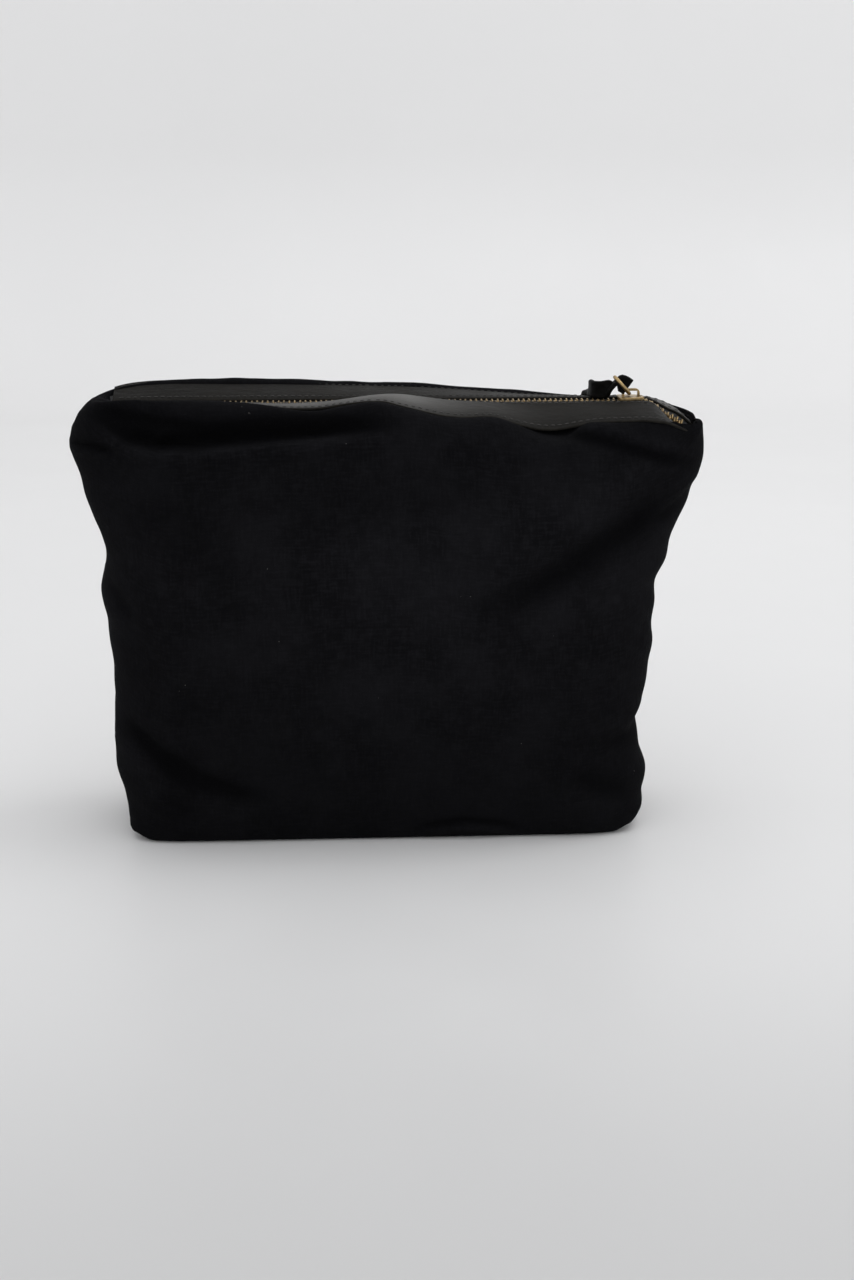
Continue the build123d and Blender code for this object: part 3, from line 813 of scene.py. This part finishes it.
def tape_material(name="black zip tape"):
    """Woven tape: fine ribs along its length crossed by a looser weave."""
    black = tuple(bpy.context.scene.wash_bag_colours.tape)
    m = Shades(name)
    ribs = m.threads(m.cloth, 1300.0, "Y")
    weave = m.threads(m.cloth, 900.0, "DIAGONAL")
    height = m.math("ADD", ribs, weave)
    m.set(
        Base_Color=m.mottled(height, 0.4, 1.8, black, 0.7, 1.8),
        Roughness=0.8,
        Specular_IOR_Level=0.35,
        Sheen_Weight=0.1,
        Normal=m.bump(height, 0.00012, 0.8),
    )
    return m.material


def brass_material(name="aged brass"):
    """Brass that is bright where it is rubbed and brown where it isn't."""
    gold = tuple(bpy.context.scene.wash_bag_colours.brass)
    m = Shades(name)
    stain = m.noise(m.place, 420.0, 4.0, 0.65)
    fine = m.noise(m.place, 1800.0, 2.0)
    tone = m.mix(m.span(stain, 0.42, 0.66), gold, lighter(gold, 0.42))
    m.set(
        Base_Color=tone,
        Metallic=1.0,
        Roughness=m.span(m.math("ADD", stain, m.math("MULTIPLY", fine, 0.3)), 0.4, 0.9, 0.22, 0.52),
        Normal=m.bump(fine, 0.00004, 0.6),
    )
    return m.material


def thread_material(name="waxed thread"):
    """Dull thread with uneven wax."""
    m = Shades(name)
    tone = tuple(bpy.context.scene.wash_bag_colours.thread)
    twist = m.noise(m.place, 1600.0, 2.0)
    m.set(
        Base_Color=m.mottled(twist, 0.3, 0.7, tone, 0.7, 1.3),
        Roughness=0.6,
        Specular_IOR_Level=0.4,
        Normal=m.bump(twist, 0.0001, 0.8),
    )
    return m.material


def backdrop_material(name="pale backdrop"):
    """Pale matt board with a few dark specks, and painted shade that makes it greyer towards the front."""
    pale = tuple(bpy.context.scene.wash_bag_colours.backdrop)
    m = Shades(name)
    cloud = m.noise(m.place, 1.6, 3.0)
    speck = m.math("LESS_THAN", m.cells(m.place, 7.0), 0.008)
    tone = m.mottled(cloud, 0.3, 0.7, pale, 0.985, 1.01)
    split = m.nodes.new("ShaderNodeSeparateXYZ")
    m.put(split.inputs[0], m.place)
    # painted shade: the floor turns greyer towards the front
    tone = m.mix(m.span(split.outputs["Y"], -0.45, -0.06, 1.0, 0.0), tone, lighter(pale, 0.74))
    m.set(
        Base_Color=m.mix(speck, tone, (0.12, 0.11, 0.10)),
        Roughness=m.span(m.noise(m.place, 9.0, 3.0), 0.3, 0.7, 0.42, 0.55),
        Specular_IOR_Level=0.35,
    )
    return m.material


# ------------------------------------------------------------------ settings
def colour(name, description, default):
    return bpy.props.FloatVectorProperty(
        name=name, description=description, subtype="COLOR", size=3, min=0.0, max=1.0, default=default
    )


class WashBagColours(bpy.types.PropertyGroup):
    canvas: colour("Canvas", "Dye of the outer cloth", (0.0064, 0.0064, 0.0074))
    lining: colour("Lining", "Cloth inside the bag", (0.022, 0.021, 0.020))
    leather: colour("Leather", "Strips along the zip, and the pull", (0.0088, 0.0080, 0.0068))
    tape: colour("Zip tape", "Tape that carries the teeth", (0.010, 0.010, 0.011))
    brass: colour("Brass", "Teeth, stops, slider and ring", (0.46, 0.33, 0.16))
    thread: colour("Thread", "Stitching on the leather", (0.030, 0.028, 0.026))
    backdrop: colour("Backdrop", "Floor and wall behind the bag", (0.84, 0.835, 0.83))


def points_setting(name, description, default, least):
    return bpy.props.IntProperty(name=name, description=description, default=default, min=least)


def length_setting(name, description, default, least):
    return bpy.props.FloatProperty(
        name=name, description=description, default=default, min=least, unit="LENGTH", subtype="DISTANCE"
    )


def angle_setting(name, description, degrees):
    return bpy.props.FloatProperty(
        name=name, description=description, default=math.radians(degrees), subtype="ANGLE", unit="ROTATION"
    )


class WashBagSizes(bpy.types.PropertyGroup):
    canvas_columns: points_setting("Canvas columns", "Points across each half of the body", 236, 40)
    wall_rows: points_setting("Wall rows", "Points up the base and wall", 150, 30)
    roof_rows: points_setting("Roof rows", "Points over the top fold", 40, 8)
    stitch_length: length_setting(
        "Stitch length", "Length of thread that shows in one stitch", 0.0024, 0.001
    )
    stitch_step: length_setting("Stitch step", "From one stitch to the next", 0.0032, 0.001)
    thread_width: length_setting("Thread width", "Diameter of the stitching thread", 0.0006, 0.0001)
    eye_height: angle_setting("Viewing angle", "Camera's height above the horizon, as an angle", 15.5)
    eye_turn: angle_setting("Viewing turn", "Camera's turn round the bag from straight in front", -3.0)
    eye_distance: length_setting(
        "Viewing distance", "From the camera to the middle of the bag", 0.900, 0.1
    )


# ------------------------------------------------------------------ the mouth's two lips
def lip_name(side):
    return "front" if side > 0 else "rear"


def halves():
    """Left and right halves of a lip: name, first and last place along the zip, and the places between which
    that half would turn from staying with the bag to opening with the mouth."""
    last = BEND_X + END_LENGTH
    return [
        ("left", ZIP_LEFT, MOUTH_MIDDLE, OPEN_LEFT, WIDE_LEFT),
        ("right", MOUTH_MIDDLE, last, OPEN_RIGHT, WIDE_RIGHT),
    ]


def open_with_mouth(piece):
    """The piece's placement baked into its mesh; it stays where it is built."""
    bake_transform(piece)


def strip_places(first, last):
    """Places along the zip, about one and a half millimetres apart."""
    return np.linspace(first, last, int(abs(last - first) / 1.5) + 2)


class WASHBAG_OT_canvas(bpy.types.Operator):
    """Build the front and rear of the canvas body with their folds and seams"""

    bl_idname = "washbag.canvas"
    bl_label = "Canvas body"

    def execute(self, context):
        sizes = context.scene.wash_bag_sizes
        cloth = material_called("black canvas", canvas_material)
        for side in (1, -1):
            grid = sizes.canvas_columns, sizes.wall_rows, sizes.roof_rows
            outer, inner = canvas_points(side, *grid), canvas_points(side, *grid, inset=CANVAS)
            away, height = np.abs(outer[..., 1]), outer[..., 2]
            seam = np.exp(-((away / 1.6) ** 2)) * (height > 3)
            # hollow carries the painted shade of the folds, the base and the ends
            piece = write_sheet(
                f"canvas_{lip_name(side)}", outer, inner, cloth, flip=side > 0,
                values={"seam": seam, "hollow": painted_shade_share(outer, side)},
            )
            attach(piece, "bag")
            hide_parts(f"{lip_name(side)}_panel")
        return {"FINISHED"}


class WASHBAG_OT_lining(bpy.types.Operator):
    """Build the lining inside the canvas"""

    bl_idname = "washbag.lining"
    bl_label = "Lining"

    def execute(self, context):
        cloth = material_called("charcoal lining", lining_material)
        for side in (1, -1):
            # a coarser grid than the canvas has, ending four rows short of the slot's edge
            outer = canvas_points(side, 140, 110, 24, inset=LINING_DEPTH)[:-4]
            inner = sunk(outer, side, LINING, 20)
            piece = write_sheet(f"lining_{lip_name(side)}", outer, inner, cloth, flip=side > 0)
            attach(piece, "bag")
            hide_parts(f"{lip_name(side)}_lining")
        return {"FINISHED"}


class WASHBAG_OT_strips(bpy.types.Operator):
    """Build the leather strips on both sides of the zip"""

    bl_idname = "washbag.strips"
    bl_label = "Leather strips"

    def execute(self, context):
        leather = material_called("dark brown leather", leather_material)
        across = np.linspace(0, 1, 17)
        for side in (1, -1):
            for half, first, last, still, moving in halves():
                x = strip_places(max(first, STRIP_LEFT), min(last, STRIP_RIGHT))
                # top face, and the share of painted highlight that stands in for reflected light
                top, painted_highlight = strip_surface(side, x, across), painted_highlight_of(side, x, across)
                if side > 0:
                    top, painted_highlight = top[:, ::-1], painted_highlight[:, ::-1]
                piece = write_ribbon(
                    f"strip_{lip_name(side)}_{half}", top, LEATHER, leather, painted_highlight=painted_highlight
                )
                open_with_mouth(piece)
                node = "facing" if half == "left" else "facing_ends"
                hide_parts(f"{lip_name(side)}_{node}")
        return {"FINISHED"}


def tape_surface(side, x, share):
    """Top face of a tape: from the teeth out to the leather's edge, then along under the leather."""
    middle, _, front, up = zip_line(x)
    across = front * side
    grip = tip_at(x) + TOOTH_LENGTH - TAPE_GRIP
    bead = middle + across * grip[:, None] + up * (TAPE / 2)
    under = strip_surface(side, x, np.linspace(0, 0.55, 41)) - up[:, None, :] * (LEATHER + 0.12)
    share = np.asarray(share)
    turn = 0.3
    points = np.zeros((len(x), len(share), 3))
    near = share <= turn
    t = (share[near] / turn)[None, :, None]
    points[:, near] = bead[:, None] * (1 - t) + under[:, :1] * t
    k = np.round((share[~near] - turn) / (1 - turn) * 40).astype(int)
    points[:, ~near] = under[:, k]
    return points


class WASHBAG_OT_tapes(bpy.types.Operator):
    """Build the woven tapes that carry the teeth, and the canvas tabs over their ends"""

    bl_idname = "washbag.tapes"
    bl_label = "Zip tapes"

    def execute(self, context):
        woven = material_called("black zip tape", tape_material)
        cloth = material_called("black canvas", canvas_material)
        for side in (1, -1):
            for half, first, last, still, moving in halves():
                top = tape_surface(side, strip_places(first, last), np.linspace(0, 1, 15))
                piece = write_ribbon(
                    f"tape_{lip_name(side)}_{half}", top[:, ::-1] if side > 0 else top, TAPE, woven,
                    round_steps=2,
                )
                open_with_mouth(piece)
                node = "tape" if half == "left" else "tape_ends"
                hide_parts(f"{lip_name(side)}_{node}")
        # a tab over each end of the zip, bulging a little over what it covers: its places along the
        # zip, its half-width, and how far it stands above the middle of the teeth
        ends = (
            ("left", np.linspace(-132.4, -124.4, 14), 6.2, 1.4),
            ("right", np.linspace(BEND_X + 25.2, BEND_X + 31.5, 10), 4.4, 1.7),
        )
        for end, places, half_width, rise in ends:
            middle, _, front, up = zip_line(places)
            v = np.linspace(-1, 1, 13)
            round_end = np.sqrt(np.clip(1 - np.abs(np.linspace(-1, 1, len(places))) ** 6, 0.55, 1))
            spread = (v * half_width)[None, :, None]
            top = middle[:, None] - front[:, None] * spread * round_end[:, None, None]
            top = top + up[:, None] * (rise + 0.5 - 0.5 * v**2)[None, :, None]
            if end == "left":
                top[..., 2] += (2.4 * ease((-126.5 - places) / 6.0))[:, None]
            piece = write_ribbon(f"tab_{end}", top, TAB, cloth)
            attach(piece, "bag")
            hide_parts(f"{end}_end_tab")
        return {"FINISHED"}


def capped(loops):
    """Points and faces of a small solid from its closed cross-sections, with a flat cap at each end."""
    rows, columns = loops.shape[:2]
    k = np.arange(columns)
    caps = np.concatenate([k[::-1][None], (k + (rows - 1) * columns)[None]])
    return loops.reshape(-1, 3), [grid_faces(rows, columns, wrap=True)[:, ::-1], caps[:, ::-1]]


def tooth_shape():
    """One tooth along +X from its tip: rounded cross-sections that swell at the head, pinch at the
    neck, and widen to the clamp that holds the tape.  Rows of closed loops with both ends drawn in."""
    stations = np.array([
        # from the tip, half-width, half-height
        (0.00, 0.20, 0.45), (0.12, 0.42, 0.95), (0.75, 0.60, 1.20), (1.45, 0.50, 1.12),
        (2.10, 0.52, 1.18), (2.70, 0.62, 1.30), (3.75, 0.62, 1.30), (4.10, 0.42, 1.00),
    ])
    angle = np.linspace(0, 2 * math.pi, 8, endpoint=False) + math.pi / 8
    c, s = np.cos(angle), np.sin(angle)
    squared = (np.abs(c) ** 4 + np.abs(s) ** 4) ** -0.25
    loops = np.stack(
        [
            np.repeat(stations[:, :1], 8, 1),
            stations[:, 1:2] * (c * squared)[None],
            stations[:, 2:3] * (s * squared)[None],
        ],
        -1,
    )
    return capped(loops)


class WASHBAG_OT_teeth(bpy.types.Operator):
    """Build both rows of brass teeth, parted along the mouth and meshed behind the slider"""

    bl_idname = "washbag.teeth"
    bl_label = "Zip teeth"

    def execute(self, context):
        brass = material_called("aged brass", brass_material)
        shape, faces = tooth_shape()
        random = np.random.default_rng(7)
        first_tooth = ZIP_LEFT + TAB_COVER + TAB_GAP + STOP_LENGTH + TOOTH_PITCH / 2
        count = int((BEND_X + CHAIN_END - TOOTH_WIDTH - first_tooth) / TOOTH_PITCH)
        for side, offset in ((1, 0.0), (-1, TOOTH_PITCH / 2)):
            places = first_tooth + offset + TOOTH_PITCH * np.arange(count)
            for half, first, last, still, moving in halves():
                x = places[(places >= first) & (places < last)]
                middle, along, front, up = zip_line(x)
                across = front * side
                lean = random.normal(0, 0.03, (len(x), 1))
                length = unit(across + along * lean)
                width = np.cross(up, length)
                axes = np.stack([length, width, up], 1)
                origin = middle + across * tip_at(x)[:, None] + up * random.normal(0, 0.04, (len(x), 1))
                piece = write_many(
                    f"teeth_{lip_name(side)}_{half}", shape, faces, origin, axes, brass, sharp=50
                )
                open_with_mouth(piece)
                node = "teeth" if half == "left" else "teeth_ends"
                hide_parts(f"{lip_name(side)}_{node}")
        return {"FINISHED"}


class WASHBAG_OT_fittings(bpy.types.Operator):
    """Finish the stops, slider, bail and ring in aged brass"""

    bl_idname = "washbag.fittings"
    bl_label = "Brass fittings"

    def execute(self, context):
        brass = material_called("aged brass", brass_material)
        block, faces = tooth_shape()
        middle, _, front, up = (v[None] for v in zip_line(BEND_X + CHAIN_END + 0.6))
        # the bottom stop is a block shaped like a tooth, longer and wider, across both tapes
        block = (block - [TOOTH_LENGTH / 2, 0, 0]) * [1.5, 1.7, 1.02]
        stop = write_many(
            "bottom_stop_bar", block, faces, middle, np.stack([front, np.cross(up, front), up], 1), brass
        )
        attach(stop, "bag")
        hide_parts("bottom_stop")
        for node in ("top_stops", "slider_body", "slider_bail", "pull_ring"):
            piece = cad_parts[node]
            piece.data.materials.clear()
            piece.data.materials.append(brass)
        return {"FINISHED"}


def carried_strap(path, across, widths, thickness, columns=9):
    """Top face of a strap: points spread to both sides of a path, along a given direction, slightly
    crowned, with the strap's own up side square to both."""
    along = unit(np.gradient(path, axis=0))
    across = unit(across - along * np.sum(across * along, -1, keepdims=True))
    up = np.cross(along, across)
    v = np.linspace(-1, 1, columns)
    top = path[:, None] + across[:, None] * (v[None, :] * widths[:, None] / 2)[..., None]
    return top + up[:, None] * (thickness / 2 - 0.25 * v**2)[None, :, None]


def along_points(points, count):
    """A smooth path through a few points: each coordinate a smooth curve of the distance so far."""
    points = np.array(points, float)
    run = distance_along(points)
    at = np.linspace(0, run[-1], count)
    path = [smooth_through(np.stack([run, points[:, k]], -1), at) for k in range(3)]
    return np.stack(path, -1), at / run[-1]


class WASHBAG_OT_pull(bpy.types.Operator):
    """Build the leather pull, threaded through the ring and lying over the rear edge"""

    bl_idname = "washbag.pull"
    bl_label = "Leather pull"

    def execute(self, context):
        leather = material_called("pull leather", lambda name: leather_material(name, gloss=0.02, depth=0.2))
        low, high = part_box("pull_ring")
        top_x, top_z = low.x / MM + RING_WIRE, high.z / MM - RING_WIRE
        path, share = along_points(
            [
                (top_x + 6.2, -1.6, top_z - 4.6), (top_x + 3.9, -0.8, top_z - 3.1),
                (top_x + 1.3, 0.5, top_z - 2.6), (top_x - 1.4, 1.3, top_z - 4.9),
                (top_x - 4.9, 3.0, top_z - 6.2), (top_x - 8.6, 6.0, top_z - 6.6),
                (top_x - 9.8, 11.0, top_z - 6.9), (top_x - 8.8, 18.5, top_z - 7.6),
                (top_x - 8.0, 26.5, top_z - 10.4), (top_x - 8.0, 31.5, top_z - 15.5),
            ],
            72,
        )
        # which way the strap's width points: at its folded end, standing on edge, and flat at its tail
        head = 1 - ease((share - 0.06) / 0.09)
        upright = ease((share - 0.18) / 0.09)
        flat = ease((share - 0.60) / 0.26)
        across = np.stack(
            [
                0.9 * flat + 0.1 * upright - 0.45 * head,
                0.4 * head + (1 - head) * (1 - upright),
                0.05 + head + upright * (1 - 0.75 * flat),
            ],
            -1,
        )
        widths = 6.6 - 2.4 * np.exp(-(((share - 0.16) / 0.05) ** 2))
        top = carried_strap(path, across, widths, PULL)
        piece = write_ribbon("leather_pull", top, PULL, leather)
        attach(piece, "pull")
        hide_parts("pull_tab")
        return {"FINISHED"}


def stitch_shape(length, width):
    """One stitch along +X: a round thread that rises out of the leather and dives back in."""
    t = np.linspace(-1, 1, 7)
    swell = np.sqrt(np.clip(1 - t**2, 0.06, 1)) ** 0.7
    lift = 0.10 - 0.55 * t**4
    angle = np.linspace(0, 2 * math.pi, 7, endpoint=False)
    loops = np.stack(
        [
            np.repeat((t * length / 2)[:, None], 7, 1),
            (width / 2 * swell)[:, None] * np.cos(angle)[None],
            (width / 2 * swell)[:, None] * np.sin(angle)[None] + (lift * width)[:, None],
        ],
        -1,
    )
    return capped(loops)


class WASHBAG_OT_stitching(bpy.types.Operator):
    """Sew rows of stitches along both edges of each leather strip"""

    bl_idname = "washbag.stitching"
    bl_label = "Stitching"

    def execute(self, context):
        sizes = context.scene.wash_bag_sizes
        thread = material_called("waxed thread", thread_material)
        shape, faces = stitch_shape(sizes.stitch_length / MM, sizes.thread_width / MM)
        random = np.random.default_rng(3)
        for side in (1, -1):
            for half, first, last, still, moving in halves():
                # rows stop short of the strip's ends, and just short of where its halves meet
                start = max(first, STRIP_LEFT) + (4.0 if half == "left" else 0.8)
                end = min(last, STRIP_RIGHT) - (3.0 if half == "right" else 0.8)
                x = np.arange(start, end, sizes.stitch_step / MM)
                places, axes = [], []
                for v in STITCH_ROWS:
                    here = strip_surface(side, x, np.array([v - 0.02, v, v + 0.02]))
                    ahead = strip_surface(side, x + 0.5, np.array([v]))[:, 0]
                    along = unit(ahead - here[:, 1])
                    up = np.cross(here[:, 2] - here[:, 0], along) * -side
                    up = unit(up * np.sign(up[:, 2:3]))
                    turn = random.normal(0, 0.05, (len(x), 1))
                    along = unit(along + np.cross(up, along) * turn)
                    places.append(here[:, 1])
                    axes.append(np.stack([along, np.cross(up, along), up], 1))
                piece = write_many(
                    f"stitches_{lip_name(side)}_{half}", shape, faces,
                    np.concatenate(places), np.concatenate(axes), thread, sharp=60,
                )
                open_with_mouth(piece)
        return {"FINISHED"}


# camera, in millimetres for the film and metres for the place it looks at
SENSOR, LENS = 36.0, 52.6
LOOK_HEIGHT, AIM_RIGHT, AIM_DOWN = 0.103, 0.0202, 0.0140


class WASHBAG_OT_stage(bpy.types.Operator):
    """Set the bag on a pale sweep under soft studio light, and place the camera"""

    bl_idname = "washbag.stage"
    bl_label = "Stage"

    def execute(self, context):
        scene = context.scene
        sizes = scene.wash_bag_sizes
        # floor that curves up into a wall: a straight run, a quarter circle, a straight rise, with the
        # wall far enough back that the bag can be looked at from behind
        bend = np.linspace(0, math.pi / 2, 40)
        near, far, radius, top, wide = -2600.0, 1300.0, 300.0, 3600.0, 3200.0
        y = np.concatenate(
            [np.linspace(near, far, 24), far + radius * np.sin(bend[1:]), np.full(10, far + radius)]
        )
        z = np.concatenate(
            [np.zeros(24), radius * (1 - np.cos(bend[1:])), np.linspace(radius + 100, top, 10)]
        )
        x = np.linspace(-wide, wide, 33)
        points = np.stack(
            [np.repeat(x[None], len(y), 0), np.repeat(y[:, None], 33, 1), np.repeat(z[:, None], 33, 1)], -1
        )
        sweep = write_mesh(
            "backdrop", points.reshape(-1, 3), [grid_faces(len(y), 33)],
            material_called("pale backdrop", backdrop_material), sharp=180,
        )

        def softbox(name, place, target, size, power, tint=(1.0, 1.0, 1.0)):
            light = bpy.data.lights.new(name, "AREA")
            light.shape, light.size, light.size_y = "RECTANGLE", size[0], size[1]
            light.energy, light.color = power, tint
            holder = bpy.data.objects.new(name, light)
            holder.location = place
            direction = np.array(target) - np.array(place)
            holder.rotation_euler = turned_along(direction)
            scene.collection.objects.link(holder)

        # name, place, what it is aimed at, size, watts and tint
        softbox("overhead", (0.5, 0.35, 1.9), (0.0, 0.1, 0.0), (2.4, 1.8), 4.0)
        softbox("front fill", (-0.7, -2.1, 1.7), (0.0, 0.0, 0.1), (2.0, 1.4), 1.5, (1.0, 0.985, 0.97))
        softbox("wall wash", (1.2, 0.2, 2.3), (0.5, 1.6, 0.6), (1.4, 0.9), 9.0, (0.985, 0.99, 1.0))

        world = bpy.data.worlds.new("studio")
        world.use_nodes = True
        air = world.node_tree.nodes["Background"]
        air.inputs["Color"].default_value = (0.97, 0.98, 1.0, 1.0)
        air.inputs["Strength"].default_value = 0.84
        scene.world = world
        scene.view_settings.view_transform = "Standard"
        scene.view_settings.look = "None"

        camera = bpy.data.cameras.new("camera")
        camera.sensor_width, camera.lens = SENSOR, LENS
        camera.clip_start, camera.clip_end = 0.05, 20.0
        eye = bpy.data.objects.new("camera", camera)
        scene.collection.objects.link(eye)
        turn, rise, distance = sizes.eye_turn, sizes.eye_height, sizes.eye_distance
        centre = np.array([0.0, 0.0, LOOK_HEIGHT])
        back = np.array([
            math.sin(turn) * math.cos(rise), -math.cos(turn) * math.cos(rise), math.sin(rise)
        ])
        # the bag stands left of the picture's middle and a little above it
        right = np.array([math.cos(turn), math.sin(turn), 0.0])
        upward = np.cross(right, -back)
        aim = centre + right * AIM_RIGHT - upward * AIM_DOWN
        eye.location = aim + back * distance
        eye.rotation_euler = turned_along(-back)
        scene.camera = eye
        return {"FINISHED"}


def turned_along(direction):
    """Turn that points an object's -Z along a direction, with its Y axis upwards."""
    return Vector([float(v) for v in direction]).to_track_quat("-Z", "Y").to_euler()


STEPS = (
    WASHBAG_OT_canvas, WASHBAG_OT_lining, WASHBAG_OT_strips, WASHBAG_OT_tapes, WASHBAG_OT_teeth,
    WASHBAG_OT_fittings, WASHBAG_OT_pull, WASHBAG_OT_stitching, WASHBAG_OT_stage,
)


class WASHBAG_PT_panel(bpy.types.Panel):
    """Sizes, colours and building steps of the wash bag"""

    bl_label = "Wash bag"
    bl_idname = "WASHBAG_PT_panel"
    bl_space_type = "VIEW_3D"
    bl_region_type = "UI"
    bl_category = "Wash bag"

    def draw(self, context):
        for group in (context.scene.wash_bag_sizes, context.scene.wash_bag_colours):
            for key in group.__annotations__:
                self.layout.prop(group, key)
        for step in STEPS:
            self.layout.operator(step.bl_idname)


CLASSES = (WashBagColours, WashBagSizes, *STEPS, WASHBAG_PT_panel)


def register():
    for item in CLASSES:
        bpy.utils.register_class(item)
    bpy.types.Scene.wash_bag_colours = bpy.props.PointerProperty(type=WashBagColours)
    bpy.types.Scene.wash_bag_sizes = bpy.props.PointerProperty(type=WashBagSizes)


def unregister():
    del bpy.types.Scene.wash_bag_sizes
    del bpy.types.Scene.wash_bag_colours
    for item in reversed(CLASSES):
        bpy.utils.unregister_class(item)


def main():
    register()
    bpy.ops.washbag.canvas()
    bpy.ops.washbag.lining()
    bpy.ops.washbag.strips()
    bpy.ops.washbag.tapes()
    bpy.ops.washbag.teeth()
    bpy.ops.washbag.fittings()
    bpy.ops.washbag.pull()
    bpy.ops.washbag.stitching()
    bpy.ops.washbag.stage()


if __name__ == "__main__":
    main()
